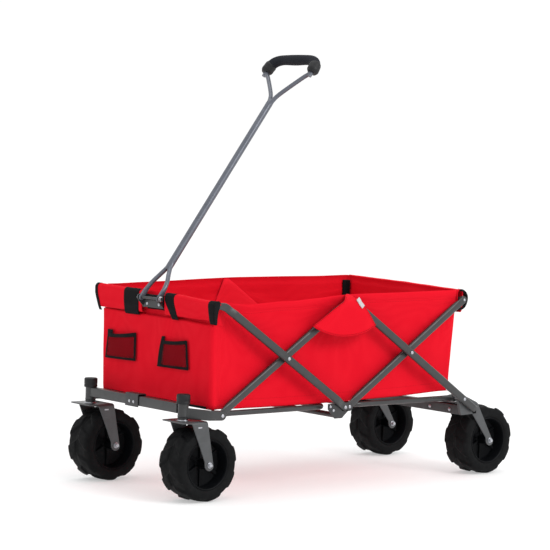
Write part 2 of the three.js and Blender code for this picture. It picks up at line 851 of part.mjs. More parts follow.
const gripCollar = cut(
  rod(gripCore.slice(16, 19), FOAM_RADIUS + 2, 5, 2, FOAM_BORE),
  rod([...foamLine.slice(0, -1), pastFoam], FOAM_RADIUS + 3 * GAP, 5, 14),
);
const cheek = plateY(
  polygon([
    [515.3, 486],
    [530, 500],
    ...[0, 1, 2, 3, 4, 5, 6].map((i) => {
      const a = -0.9 + (Math.PI * i) / 6;
      return [HANDLE_PIVOT[0] + 9 * Math.cos(a), HANDLE_PIVOT[1] + 9 * Math.sin(a)];
    }),
    [515.3, 506],
  ]),
  43,
  46,
);
const handleBracket = cut(
  join(box(515.3, 518.3, -46, 46, 486, 506), cheek, mirrored(cheek)),
  barY(HOLE_RADIUS, ...HANDLE_PIVOT, -60, 60),
);
const handlePin = join(
  barY(PIN_RADIUS, ...HANDLE_PIVOT, -48, 48),
  barY(HEAD_RADIUS, ...HANDLE_PIVOT, 46 + GAP, 49, 12, HEAD_RADIUS * 0.7),
  barY(HEAD_RADIUS * 0.7, ...HANDLE_PIVOT, -49, -46 - GAP, 12, HEAD_RADIUS),
);

// ---------- the wagon ----------
const wagon = new THREE.Group();
wagon.name = "folding_camp_wagon";

function piece(name, geometry, material, parent = wagon) {
  const mesh = new THREE.Mesh(geometry, material.clone());
  mesh.name = name;
  parent.add(mesh);
  return mesh;
}

function pair(name, geometry, material) {
  piece(`${name}_left`, geometry, material);
  piece(`${name}_right`, mirrored(geometry), material);
}

piece("front_crossbar", frontCrossbar, STEEL);
pair("front_corner_post", cornerPost, STEEL);
pair("post_cap", postCap, BLACK);
piece("front_centre_bracket", centreBracket, BLACK);

pair("front_inner_bar", frontInnerBar, STEEL);
pair("front_outer_bar", frontOuterBar, STEEL);
pair("bottom_hub", bottomHub, BLACK);
piece("centre_strut", centreStrut, STEEL);
pair("rear_inner_bar", rearInnerBar, STEEL);
pair("top_hub", topHub, BLACK);
pair("rear_outer_bar", rearOuterBar, STEEL);
piece("front_floor_frame", floorFrame(FRONT_PIVOT_X, -1), STEEL);
piece("rear_floor_frame", floorFrame(REAR_PIVOT_X, 1), STEEL);

piece("rear_crossbar", rearCrossbar, BLACK);
pair("rear_fork", rearFork, STEEL);
pair("rear_axle_bolt", axleBolt(-AXLE_X), ZINC);
pair("caster_fork", casterFork, STEEL);
pair("caster_axle_bolt", axleBolt(AXLE_X), ZINC);

for (const [end, x] of [["front", AXLE_X], ["rear", -AXLE_X]]) {
  for (const [side, sign] of [["left", 1], ["right", -1]]) {
    const wheel = new THREE.Group();
    wheel.name = `${end}_wheel_${side}`;
    wheel.position.set(x, sign * WHEEL_Y, WHEEL_RADIUS);
    wagon.add(wheel);
    piece(`${end}_tyre_${side}`, wheelTyre.clone(), RUBBER, wheel);
    piece(`${end}_rim_${side}`, wheelRim.clone(), RIM, wheel);
  }
}

piece("front_top_rail", frontTopRail, STEEL);
piece("rear_top_rail", rearTopRail, STEEL);
piece("basket", basket, RED);
piece("front_hem", frontHem, RED);
piece("rear_hem", rearHem, RED);
piece("front_pocket_right", pocket(-216, -72), MESH);
piece("front_pocket_left", pocket(27, 152), MESH);
piece("hem_strap_right", hemStrap(-132, -64), WEBBING);
piece("hem_strap_left", hemStrap(60, 100), WEBBING);
pair("front_corner_strip", hemStrap(237, HEM_END), WEBBING);
pair("rear_corner_loop", cornerLoop, WEBBING);
pair("side_flap", sideFlap, RED);

piece("handle_bracket", handleBracket, BLACK);
piece("handle_pivot_bolt", handlePin, ZINC);
piece("handle_frame", lean(handleFrame), HANDLE);
piece("handle_grip", lean(handleGrip), FOAM);
piece("grip_collar_left", lean(gripCollar.clone()), BLACK);
piece("grip_collar_right", lean(mirrored(gripCollar)), BLACK);

export default wagon;
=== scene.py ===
"""Looks for the folding camp wagon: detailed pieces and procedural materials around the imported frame.

Sizes are in millimetres in the tables and in the mesh code; piece() turns them into metres.
+X is the front end, +Y the wagon's left side, +Z up.
"""

import math

import bmesh
import bpy
import numpy as np
from mathutils import Matrix, Vector, noise


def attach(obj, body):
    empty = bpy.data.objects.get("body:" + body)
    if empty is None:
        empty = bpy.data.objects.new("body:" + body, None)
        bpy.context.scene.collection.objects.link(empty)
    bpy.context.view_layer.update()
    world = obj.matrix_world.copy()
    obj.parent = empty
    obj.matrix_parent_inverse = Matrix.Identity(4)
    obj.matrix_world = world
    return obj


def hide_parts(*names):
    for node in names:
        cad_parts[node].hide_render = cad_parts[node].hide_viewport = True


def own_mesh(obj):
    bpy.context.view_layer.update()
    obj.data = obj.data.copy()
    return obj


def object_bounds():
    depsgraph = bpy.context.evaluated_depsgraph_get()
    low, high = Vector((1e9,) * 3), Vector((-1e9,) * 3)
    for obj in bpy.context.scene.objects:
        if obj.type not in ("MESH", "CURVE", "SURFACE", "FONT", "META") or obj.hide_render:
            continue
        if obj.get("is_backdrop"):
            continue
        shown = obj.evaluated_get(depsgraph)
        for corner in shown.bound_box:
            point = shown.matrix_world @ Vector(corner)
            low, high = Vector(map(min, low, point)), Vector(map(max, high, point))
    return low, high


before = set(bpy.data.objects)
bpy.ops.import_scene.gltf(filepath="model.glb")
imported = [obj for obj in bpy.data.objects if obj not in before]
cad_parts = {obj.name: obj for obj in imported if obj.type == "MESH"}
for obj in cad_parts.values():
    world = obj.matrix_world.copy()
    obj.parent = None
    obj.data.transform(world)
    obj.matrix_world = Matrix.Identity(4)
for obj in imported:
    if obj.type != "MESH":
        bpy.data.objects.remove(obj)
cad_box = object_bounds()

MM = 0.001

# ---------- camera ----------
AZIMUTH, ELEVATION, ROLL = (math.radians(a) for a in (138.99, 4.35, 1.94))
CAMERA_DISTANCE = 6.1966
CAMERA_TARGET = Vector((-0.0483, 0.0, 0.468))
camera_data = bpy.data.cameras.new("camera")
camera_data.sensor_width = 36
camera_data.lens = 144
camera_data.shift_x = -0.0715
camera_data.shift_y = 0.0624
camera_data.clip_end = 100
camera = bpy.data.objects.new("camera", camera_data)
bpy.context.scene.collection.objects.link(camera)
bpy.context.scene.camera = camera
back = Vector(
    (
        math.sin(AZIMUTH) * math.cos(ELEVATION),
        -math.cos(AZIMUTH) * math.cos(ELEVATION),
        math.sin(ELEVATION),
    )
)
level = Vector((0, 0, 1)).cross(back).normalized()
upright = back.cross(level)
across = level * math.cos(ROLL) + upright * math.sin(ROLL)
upward = upright * math.cos(ROLL) - level * math.sin(ROLL)
axes = Matrix((across, upward, back)).transposed()
camera.matrix_world = Matrix.Translation(CAMERA_TARGET + back * CAMERA_DISTANCE) @ axes.to_4x4()

# ---------- sizes shared with the CAD ----------
FRONT_X, REAR_X = 480.0, -389.7
LOW, HIGH = 225.5, 506.6
HUB_FRONT, HUB_REAR = 55.15, 35.15
INNER, OUTER = (239, 253), (256, 270)
INNER_TONGUE, OUTER_TONGUE = (247.7, 252.7), (256.3, 261.3)
HUB_PLATE = (253.3, 255.7)
TAIL = 58
WHEEL_R, AXLE_X, WHEEL_Y = 98.5, 512.75, 206
POST_X = 566
FORK_TOP = 213
RAIL_Y, RAIL_R, RAIL_LENGTH = 223.5, 7.5, 385
TOP_RAIL = (508, 510)
FRONT_EYE = 7.6
LEG_END = 15
FLOOR_Z, DEPTH = 247, 281
EDGE_FRONT, EDGE_REAR = 240, 246.6
HEM_LEVEL = 528.6
PAD_HALF = 225.5


# ---------- materials ----------
class Looks:
    """A material's node tree, with short calls for the nodes that these materials use."""

    def __init__(self, name, color, roughness, metallic=0.0, **sockets):
        self.made = bpy.data.materials.new(name)
        self.made.use_nodes = True
        self.tree = self.made.node_tree
        self.shader = self.tree.nodes["Principled BSDF"]
        self.shader.inputs["Base Color"].default_value = (*color, 1)
        self.shader.inputs["Roughness"].default_value = roughness
        self.shader.inputs["Metallic"].default_value = metallic
        for socket, value in sockets.items():
            self.shader.inputs[socket.replace("_", " ").title()].default_value = value
        self.place = self.node("ShaderNodeTexCoord").outputs["Object"]

    def node(self, kind, inputs=None, **settings):
        node = self.tree.nodes.new(kind)
        for key, value in settings.items():
            setattr(node, key, value)
        for key, value in (inputs or {}).items():
            self.put(node.inputs[key], value)
        return node

    def put(self, socket, value):
        if isinstance(value, bpy.types.NodeSocket):
            self.tree.links.new(value, socket)
        else:
            socket.default_value = value

    def set(self, socket, value):
        self.put(self.shader.inputs[socket], value)

    def noise(self, scale, detail=3.0, rough=0.5, place=None):
        inputs = {"Vector": place or self.place, "Scale": scale, "Detail": detail, "Roughness": rough}
        return self.node("ShaderNodeTexNoise", inputs).outputs["Fac"]

    def stretched(self, x, y, z):
        inputs = {0: self.place, 1: (x, y, z)}
        return self.node("ShaderNodeVectorMath", inputs, operation="MULTIPLY").outputs[0]

    def span(self, value, low, high, to_low=0.0, to_high=1.0):
        inputs = {"Value": value, "From Min": low, "From Max": high, "To Min": to_low, "To Max": to_high}
        return self.node("ShaderNodeMapRange", inputs).outputs[0]

    def math(self, operation, a, b=0.0):
        return self.node("ShaderNodeMath", {0: a, 1: b}, operation=operation).outputs[0]

    def between(self, share, a, b):
        node = self.node("ShaderNodeMix", data_type="RGBA")
        self.put(node.inputs[0], share)
        self.put(node.inputs[6], a if isinstance(a, bpy.types.NodeSocket) else (*a, 1))
        self.put(node.inputs[7], b if isinstance(b, bpy.types.NodeSocket) else (*b, 1))
        return node.outputs[2]

    def bump(self, height, distance, strength=1.0):
        """Adds a bump on top of the ones already there."""
        inputs = {"Height": height, "Distance": distance, "Strength": strength}
        node = self.node("ShaderNodeBump", inputs)
        before = self.shader.inputs["Normal"].links
        if before:
            self.tree.links.new(before[0].from_socket, node.inputs["Normal"])
        self.set("Normal", node.outputs[0])

    def weave(self, pitch):
        """Threads crossing on a surface that faces any axis, from 0 to 1."""
        k = 2 * math.pi / pitch
        scaled = self.stretched(k, k, k)
        waves = self.node("ShaderNodeVectorMath", {0: scaled}, operation="SINE").outputs[0]
        inputs = {0: waves, 1: (1, 1, 1)}
        total = self.node("ShaderNodeVectorMath", inputs, operation="DOT_PRODUCT").outputs["Value"]
        return self.span(total, -2, 2)


def powder_coat(name, color, light, roughness, metallic=0.0):
    """Baked-on paint: a fine pebbled skin, with paler worn spots and thin scuffs."""
    looks = Looks(name, color, roughness, metallic, coat_weight=0.22)
    looks.shader.inputs["Coat Roughness"].default_value = 0.3
    mottle = looks.span(looks.noise(38, 4), 0.35, 0.7)
    worn = looks.span(looks.noise(11, 6, 0.7), 0.6, 0.72)
    scuff = looks.span(looks.noise(1, 3, 0.6, looks.stretched(30, 420, 420)), 0.66, 0.72)
    shade = looks.between(looks.math("MULTIPLY", mottle, 0.5), color, light)
    marked = looks.math("MAXIMUM", looks.math("MULTIPLY", worn, 0.25), looks.math("MULTIPLY", scuff, 0.35))
    looks.set("Base Color", looks.between(marked, shade, [min(1, c * 2.6) for c in color]))
    looks.set("Roughness", looks.span(looks.noise(60, 5), 0.3, 0.75, roughness - 0.09, roughness + 0.12))
    looks.bump(looks.noise(1400, 2), 0.00006, 0.5)
    looks.bump(looks.noise(160, 3), 0.00012, 0.3)
    return looks.made


def plated(name):
    """Bright zinc: fine turning marks and cloudy patches."""
    looks = Looks(name, (0.62, 0.63, 0.66), 0.27, 1.0)
    cloud = looks.span(looks.noise(240, 4), 0.35, 0.7)
    looks.set("Base Color", looks.between(cloud, (0.5, 0.51, 0.54), (0.32, 0.33, 0.36)))
    looks.set("Roughness", looks.span(looks.noise(500, 3), 0.3, 0.7, 0.2, 0.42))
    looks.bump(looks.noise(1, 2, 0.5, looks.stretched(900, 4000, 900)), 0.00004, 0.6)
    return looks.made


def moulded(name, color, roughness, grain=900.0, pale=2.2, shine=0.5):
    """Moulded plastic or rubber: a fine grain, a little bloom and dust."""
    looks = Looks(name, color, roughness)
    looks.shader.inputs["Specular IOR Level"].default_value = shine
    bloom = looks.span(looks.noise(26, 5, 0.6), 0.42, 0.72)
    dust = looks.span(looks.noise(210, 3), 0.56, 0.75)
    mixed = looks.math("MULTIPLY", looks.math("ADD", bloom, dust), 0.33)
    looks.set("Base Color", looks.between(mixed, color, [c * pale for c in color]))
    looks.set("Roughness", looks.span(looks.noise(90, 4), 0.3, 0.7, roughness - 0.08, roughness + 0.1))
    looks.bump(looks.noise(grain, 2), 0.00012, 0.5)
    return looks.made


def foam(name):
    """Closed-cell foam: small pores in a dull black skin."""
    looks = Looks(name, (0.012, 0.013, 0.016), 0.8)
    looks.shader.inputs["Specular IOR Level"].default_value = 0.15
    inputs = {"Vector": looks.place, "Scale": 620}
    cells = looks.node("ShaderNodeTexVoronoi", inputs).outputs["Distance"]
    shade = looks.span(cells, 0.1, 0.7)
    looks.set("Base Color", looks.between(shade, (0.005, 0.005, 0.007), (0.018, 0.02, 0.026)))
    looks.bump(cells, 0.0004, 0.6)
    looks.bump(looks.noise(70, 3), 0.0006, 0.3)
    return looks.made


def cloth(name, color, deep, pitch, roughness=0.78, creases=0.0006):
    """Woven coated fabric: threads, uneven dye and small creases."""
    looks = Looks(name, color, roughness)
    looks.shader.inputs["Specular IOR Level"].default_value = 0.07
    threads = looks.weave(pitch)
    dye = looks.span(looks.noise(7, 4, 0.55), 0.3, 0.72)
    slub = looks.span(looks.noise(1, 2, 0.5, looks.stretched(260, 260, 900)), 0.35, 0.7)
    share = looks.math("ADD", looks.math("MULTIPLY", dye, 0.4), looks.math("MULTIPLY", slub, 0.25))
    share = looks.math("ADD", share, looks.math("MULTIPLY", threads, 0.3))
    looks.set("Base Color", looks.between(share, deep, color))
    looks.set("Roughness", looks.span(threads, 0, 1, roughness + 0.08, roughness - 0.06))
    looks.bump(threads, pitch * 0.12, 0.45)
    looks.bump(looks.noise(24, 4, 0.55), creases * 2, 0.5)
    looks.bump(looks.noise(95, 3), creases * 0.5, 0.4)
    return looks.made


def webbing(name, color, pale):
    """Narrow woven band: ribs across it, with a herringbone of fine threads."""
    looks = Looks(name, color, 0.85)
    looks.shader.inputs["Specular IOR Level"].default_value = 0.12
    ribs = looks.weave(0.0026)
    fine = looks.weave(0.0011)
    share = looks.math("ADD", looks.math("MULTIPLY", ribs, 0.6), looks.math("MULTIPLY", fine, 0.3))
    looks.set("Base Color", looks.between(share, color, pale))
    looks.bump(ribs, 0.0005, 0.6)
    looks.bump(fine, 0.0002, 0.5)
    looks.bump(looks.noise(60, 3), 0.0006, 0.3)
    return looks.made


def net(name):
    """Open mesh: dark threads, with holes that show the wall behind through a thin veil."""
    looks = Looks(name, (0.012, 0.008, 0.009), 0.85)
    looks.shader.inputs["Specular IOR Level"].default_value = 0.08
    k = 2 * math.pi / 0.0034
    waves = looks.node("ShaderNodeVectorMath", {0: looks.stretched(k, k, k)}, operation="SINE").outputs[0]
    parts = looks.node("ShaderNodeSeparateXYZ", {0: waves})
    high = looks.math("MAXIMUM", parts.outputs["Y"], parts.outputs["Z"])
    threads = looks.span(high, 0.5, 0.8)
    looks.set("Base Color", looks.between(threads, (0.34, 0.002, 0.008), (0.11, 0.002, 0.006)))
    looks.set("Alpha", looks.span(threads, 0, 1, 0.3, 0.72))
    looks.bump(threads, 0.0005, 0.6)
    looks.bump(looks.noise(50, 3), 0.001, 0.3)
    return looks.made


def ground(name):
    """The studio floor: matt and nearly white."""
    looks = Looks(name, (0.6, 0.6, 0.6), 0.9, emission_strength=0.4)
    looks.shader.inputs["Emission Color"].default_value = (1, 1, 1, 1)
    looks.bump(looks.noise(30, 3), 0.0002, 0.2)
    return looks.made


STEEL = powder_coat("frame_paint", (0.018, 0.019, 0.02), (0.03, 0.0315, 0.0325), 0.38, 0.1)
FORK = powder_coat("fork_paint", (0.044, 0.047, 0.05), (0.068, 0.072, 0.076), 0.4, 0.15)
HANDLE = powder_coat("handle_paint", (0.085, 0.093, 0.115), (0.12, 0.13, 0.16), 0.33, 0.35)
DARK = powder_coat("black_paint", (0.009, 0.0095, 0.011), (0.016, 0.017, 0.02), 0.45)
ZINC = plated("zinc_plate")
PLASTIC = moulded("black_plastic", (0.007, 0.0075, 0.0085), 0.5, shine=0.3)
RIM = moulded("rim_plastic", (0.0022, 0.0026, 0.0034), 0.5, 1100, 2.4, 0.1)
RUBBER = moulded("tyre_rubber", (0.003, 0.0032, 0.0036), 0.7, 600, 2.6, 0.12)
FOAM = foam("grip_foam")
RED = cloth("red_fabric", (0.70, 0.006, 0.018), (0.58, 0.002, 0.012), 0.0017)
PATCH = cloth("red_fabric_doubled", (0.76, 0.012, 0.028), (0.66, 0.006, 0.018), 0.0017)
BAND = webbing("black_webbing", (0.0025, 0.0025, 0.003), (0.009, 0.009, 0.01))
NET = net("pocket_net")
THREAD = cloth("red_thread", (0.45, 0.004, 0.01), (0.32, 0.002, 0.007), 0.0008)
TAG = cloth("tag_cloth", (0.62, 0.6, 0.6), (0.42, 0.4, 0.41), 0.0012, creases=0.0003)


# ---------- mesh code ----------
class Build:
    """The points and faces of one piece, in millimetres, with a material number for each face."""

    def __init__(self):
        self.points, self.faces, self.slots = [], [], []

    def add(self, points, faces, slot=0):
        first = len(self.points)
        self.points += [tuple(float(c) for c in p) for p in points]
        self.faces += [[first + i for i in face] for face in faces]
        self.slots += [slot] * len(faces)

    def grid(self, rows, slot=0, around=False):
        """A sheet through rows of points; around joins each row's end to its start."""
        count = len(rows[0])
        steps = count if around else count - 1
        faces = []
        for r in range(len(rows) - 1):
            for i in range(steps):
                a, b = r * count + i, r * count + (i + 1) % count
                faces.append([a, b, b + count, a + count])
        self.add([p for row in rows for p in row], faces, slot)

    def loft(self, rings, slot=0):
        """A closed solid through rings of points."""
        count = len(rings[0])
        faces = [list(range(count))[::-1]]
        for r in range(len(rings) - 1):
            for i in range(count):
                a, b = r * count + i, r * count + (i + 1) % count
                faces.append([a, b, b + count, a + count])
        faces.append([(len(rings) - 1) * count + i for i in range(count)])
        self.add([p for ring in rings for p in ring], faces, slot)

    def turned(self, centre, axis, profile, segments=28, slot=0, start=0.0):
        """A solid turned about an axis, from (radius, distance along the axis) pairs."""
        axis = Vector(axis).normalized()
        side = axis.orthogonal().normalized()
        other = axis.cross(side)
        rings = []
        for radius, along in profile:
            ring = []
            for i in range(segments):
                a = start + 2 * math.pi * i / segments
                out = side * math.cos(a) + other * math.sin(a)
                ring.append(Vector(centre) + axis * along + out * max(radius, 0.02))
            rings.append(ring)
        self.loft(rings, slot)

    def sweep(self, path, size, segments=16, slot=0, wide=None):
        """A tube along a path. size is a radius or a (half width, half depth), or one for each point; wide is
        the direction of the width."""
        path = [Vector(p) for p in path]
        sizes = size if isinstance(size, list) else [size] * len(path)
        rings = []
        side = None
        for i, point in enumerate(path):
            along = (path[min(i + 1, len(path) - 1)] - path[max(i - 1, 0)]).normalized()
            if wide is not None:
                side = (Vector(wide) - along * Vector(wide).dot(along)).normalized()
            elif side is None:
                side = along.orthogonal().normalized()
            else:
                side = (side - along * side.dot(along)).normalized()
            other = along.cross(side)
            w, d = sizes[i] if isinstance(sizes[i], tuple) else (sizes[i], sizes[i])
            rings.append(
                [
                    point + side * (w * math.cos(a)) + other * (d * math.sin(a))
                    for a in (2 * math.pi * k / segments for k in range(segments))
                ]
            )
        self.loft(rings, slot)

    def plate(self, outline, low, high, slot=0, facing="y"):
        """A flat shape with a thickness; the outline is in the two other axes, in X, Y, Z order."""
        place = {
            "x": lambda a, b, t: (t, a, b),
            "y": lambda a, b, t: (a, t, b),
            "z": lambda a, b, t: (a, b, t),
        }[facing]
        self.loft([[place(a, b, t) for a, b in outline] for t in (low, high)], slot)

    def stitches(self, path, outward, length=4.2, pitch=6.2, slot=0, radius=0.45):
        """A row of thread stitches along a path, standing a little proud of the cloth."""
        line = resample(path, pitch)
        outward = Vector(outward)
        for a, b in zip(line[:-1], line[1:]):
            along = (b - a).normalized()
            start = a + outward * radius * 0.5
            middle = a + along * length / 2 + outward * radius * 1.6
            end = a + along * length + outward * radius * 0.5
            self.sweep([start, middle, end], [0.25, radius, 0.25], 5, slot)


def resample(path, step):
    """Points a step apart along a path."""
    path = np.array([tuple(p) for p in path], float)
    lengths = np.concatenate([[0], np.cumsum(np.linalg.norm(np.diff(path, axis=0), axis=1))])
    count = max(2, int(round(lengths[-1] / step)) + 1)
    at = np.linspace(0, lengths[-1], count)
    places = np.stack([np.interp(at, lengths, path[:, k]) for k in range(3)], 1)
    return [Vector(place) for place in places]


def smooth_path(points, steps=8):
    """A Catmull-Rom curve through the points."""
    p = [Vector(points[0])] + [Vector(q) for q in points] + [Vector(points[-1])]
    made = []
    for i in range(1, len(p) - 2):
        for k in range(steps):
            t = k / steps
            a, b, c, d = p[i - 1], p[i], p[i + 1], p[i + 2]
            made.append(
                0.5
                * (
                    2 * b
                    + (c - a) * t
                    + (2 * a - 5 * b + 4 * c - d) * t * t
                    + (3 * b - a - 3 * c + d) * t**3
                )
            )
    made.append(p[-2])
    return made


def ease(t):
    """From 0 to 1 with level ends."""
    t = min(1.0, max(0.0, t))
    return t * t * (3 - 2 * t)


def mix(a, b, t):
    return a + (b - a) * t


def rounded(half_w, half_d, radius, steps=5):
    """The outline of a rectangle with round corners, as (across, deep) pairs."""
    points = []
    corners = [(1, -1, -90), (1, 1, 0), (-1, 1, 90), (-1, -1, 180)]
    for sx, sy, start in corners:
        for i in range(steps + 1):
            a = math.radians(start + 90 * i / steps)
            points.append(
                (
                    sx * (half_w - radius) + radius * math.cos(a),
                    sy * (half_d - radius) + radius * math.sin(a),
                )
            )
    return points


def stadium(a, b, radius, steps=12):
    """The outline round two circles of one radius."""
    angle = math.atan2(b[1] - a[1], b[0] - a[0])
    points = []
    for centre, start in ((b, angle - math.pi / 2), (a, angle + math.pi / 2)):
        for i in range(steps + 1):
            t = start + math.pi * i / steps
            points.append((centre[0] + radius * math.cos(t), centre[1] + radius * math.sin(t)))
    return points


def wobble(x, y, z, scale, seed=0.0):
    """Smooth noise from -1 to 1; scale is the size of a bump in millimetres."""
    return noise.noise(Vector((x / scale + seed, y / scale + seed * 1.7, z / scale - seed)))


def piece(
    name, build, materials, body, replaces=(), slot=None, sharp=35, bevel=0.0, mirror=False, open_sheet=False
):
    """Makes the Blender object of a build, and lets it ride on a CAD body."""
    points = np.array(build.points, float) * MM
    faces = build.faces
    if mirror:
        points[:, 1] *= -1
        faces = [face[::-1] for face in faces]
    mesh = bpy.data.meshes.new(name)
    mesh.from_pydata(points.tolist(), [], faces)
    for material in materials:
        mesh.materials.append(material)
    mesh.polygons.foreach_set("material_index", build.slots)
    if not open_sheet:
        work = bmesh.new()
        work.from_mesh(mesh)
        bmesh.ops.recalc_face_normals(work, faces=work.faces)
        work.to_mesh(mesh)
        work.free()
    mesh.shade_smooth()
    mesh.set_sharp_from_angle(angle=math.radians(sharp))
    made = bpy.data.objects.new(name, mesh)
    bpy.context.scene.collection.objects.link(made)
    if bevel:
        rounding = made.modifiers.new("edges", "BEVEL")
        rounding.width = bevel * MM
        rounding.segments = 3
        rounding.limit_method = "ANGLE"
        rounding.angle_limit = math.radians(40)
        rounding.use_clamp_overlap = True
    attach(made, body)
    if replaces:
        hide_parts(*replaces)
    return made


def pair(name, build, materials, body, replaces=(), **options):
    """The same piece on both sides. {} in a name stands for left and right."""
    made = []
    for side, mirror in (("left", False), ("right", True)):
        nodes = [node.format(side) for node in replaces]
        made.append(
            piece(name.format(side), build, materials, body.format(side), nodes, mirror=mirror, **options)
        )
    return made


def thicken(made, thickness, offset):
    """Gives a sheet its thickness in millimetres, to one side of its surface or both."""
    thick = made.modifiers.new("thickness", "SOLIDIFY")
    thick.thickness = thickness * MM
    thick.offset = offset


SHEET = {"sharp": 60, "open_sheet": True}

# ---------- rivets and side bars ----------
HEAD_OUT = [(6.2, 0), (6.2, 0.5), (5.9, 1.2), (4.9, 1.9), (3.2, 2.4), (1.2, 2.6)]


def rivet(build, x, z, inner, outer, slot=1, head=1.0):
    """A rivet along Y: a dome at each end and the shank between."""
    up = [(r * 0.8 * head, h) for r, h in HEAD_OUT]
    build.turned((x, outer, z), (0, 1, 0), up, 20, slot)
    build.turned((x, inner, z), (0, -1, 0), up, 20, slot)
    build.turned((x, inner, z), (0, 1, 0), [(4, 0), (4, outer - inner)], 16, slot)


def side_bar(build, start, end, plane, tongue, tail=0, reach=None):
    """A tube with flattened ends, from one pivot to another. It can run past the second by a tail, or its
    last tongue can bend over there and reach for a third point."""
    length = math.hypot(end[0] - start[0], end[1] - start[1])
    ux, uz = (end[0] - start[0]) / length, (end[1] - start[1]) / length
    line = [(start[0] + ux * s, start[1] + uz * s) for s in np.linspace(0, length + tail, 120)]
    if reach:
        turn = smooth_path([(*line[-6], 0), (*end, 0), (*reach, 0)], 10)
        line = line[:-6] + [tuple(p)[:2] for p in turn[1:]]
    line = [Vector((x, z, 0)) for x, z in line]
    along_line = np.concatenate([[0], np.cumsum([(b - a).length for a, b in zip(line[:-1], line[1:])])])
    last = float(along_line[-1])

    def at(s):
        inside = min(max(s, 0), last)
        i = min(int(np.searchsorted(along_line, inside, "right")) - 1, len(line) - 2)
        a, b = line[i], line[i + 1]
        way = (b - a).normalized()
        return a + way * (s - float(along_line[i])), way

    near = [-10 * math.cos(math.radians(a)) for a in (4, 18, 34, 50, 68, 90)]
    near += [4, 9, 13, 16, 19, 22, 25, 28, 31, 34, 38, 44]
    far = [last - 12, last - 1.2, last] if tail else [last - s for s in reversed(near)]
    if reach:
        far = [last - s for s in (78, 74, 70, 67, 64, 61, 58, 55, 52, 48, 40, 34, 28, 22, 16, 9, 4)]
        far += [last - s * FRONT_EYE / 10 for s in reversed(near[:6])]
    middle = list(np.linspace(70, far[0] - 26, 9))
    rings = []
    for s in near + middle + far:
        from_end = s if tail or s < length / 2 else last - s
        late = 26 if reach and s > length / 2 else 0
        opened = ease((from_end - 13 - late) / 26)
        eye = FRONT_EYE if late else 10
        half_w = mix(mix(eye, 10.6, ease(from_end / 30)), 11, opened)
        if from_end < 0:
            half_w = math.sqrt(max(0.3, eye**2 - from_end**2))
        half_d = mix(2.5, 7, opened)
        if tail and s > last - 1:
            half_w, half_d = half_w - 0.8, half_d - 0.8
        y = mix(sum(tongue) / 2, sum(plane) / 2, opened)
        corner = min(half_d * 0.86, half_w * 0.86, 6)
        place, way = at(s)
        rings.append(
            [(place.x - way.y * a, y + d, place.y + way.x * a) for a, d in rounded(half_w, half_d, corner, 5)]
        )
    build.loft(rings, 0)


front_low, front_high = (FRONT_X, LOW), (FRONT_X, HIGH)
hub_front_low, hub_front_high = (HUB_FRONT, LOW), (HUB_FRONT, HIGH)
hub_rear_low, hub_rear_high = (HUB_REAR, LOW), (HUB_REAR, HIGH)
rear_low, rear_high = (REAR_X, LOW), (REAR_X, HIGH)
front_cross = ((FRONT_X + HUB_FRONT) / 2, (LOW + HIGH) / 2)
rear_cross = ((REAR_X + HUB_REAR) / 2, (LOW + HIGH) / 2)

bar = Build()
side_bar(bar, front_low, hub_front_high, INNER, INNER_TONGUE)
rivet(bar, *front_cross, INNER[0], OUTER[1])
rivet(bar, *hub_front_high, INNER_TONGUE[0], HUB_PLATE[1])
pair("bar_front_inner_{}", bar, [STEEL, ZINC], "front_inner_bars", ["front_inner_bar_{}"], slot="frame")

bar = Build()
side_bar(bar, hub_front_low, front_high, OUTER, OUTER_TONGUE, reach=TOP_RAIL)
rivet(bar, *hub_front_low, HUB_PLATE[0], OUTER_TONGUE[1])
rivet(bar, *TOP_RAIL, 249.5, OUTER_TONGUE[1], head=0.8)
pair("bar_front_outer_{}", bar, [STEEL, ZINC], "front_outer_bars", ["front_outer_bar_{}"], slot="frame")

bar = Build()
side_bar(bar, hub_rear_low, rear_high, INNER, INNER_TONGUE)
rivet(bar, *hub_rear_low, INNER_TONGUE[0], HUB_PLATE[1])
rivet(bar, *rear_high, 241.5, INNER_TONGUE[1], head=0.8)
pair("bar_rear_inner_{}", bar, [STEEL, ZINC], "rear_inner_bars", ["rear_inner_bar_{}"], slot="frame")

bar = Build()
side_bar(bar, hub_rear_high, rear_low, OUTER, OUTER_TONGUE, TAIL)
rivet(bar, *rear_cross, INNER[0], OUTER[1])
rivet(bar, *hub_rear_high, HUB_PLATE[0], OUTER_TONGUE[1])
rivet(bar, *rear_low, RAIL_Y - RAIL_R, OUTER[1])
pair("bar_rear_outer_{}", bar, [STEEL, ZINC], "rear_outer_bars", ["rear_outer_bar_{}"], slot="frame")

# ---------- hubs and the strut between the lower ones ----------
hub = Build()
hub.plate(stadium(hub_rear_low, hub_front_low, 12), *HUB_PLATE)
hub.plate([(40, 214), (62, 195.5), (88, 195.5), (113, 222), (113, 236.5), (50, 236.5)], *HUB_PLATE)
for x, z in ((104, 229), (93, 218)):
    hub.turned((x, HUB_PLATE[1] - 0.2, z), (0, 1, 0), [(r * 0.66, h * 0.9) for r, h in HEAD_OUT], 16, 1)
pair("hub_low_{}", hub, [DARK, ZINC], "bottom_hubs", ["bottom_hub_{}"], slot="black_metal", bevel=0.6)

hub = Build()
hub.plate(stadium(hub_rear_high, hub_front_high, 12), *HUB_PLATE)
pair("hub_high_{}", hub, [DARK], "top_hubs", ["top_hub_{}"], slot="black_metal", bevel=0.6)

strut = Build()
strut.turned((75, -253, 203), (0, 1, 0), [(6.6, 0), (7.5, 1), (7.5, 505), (6.6, 506)], 24)
piece("hub_strut", strut, [STEEL], "bottom_hubs", ["centre_strut"], slot="frame")

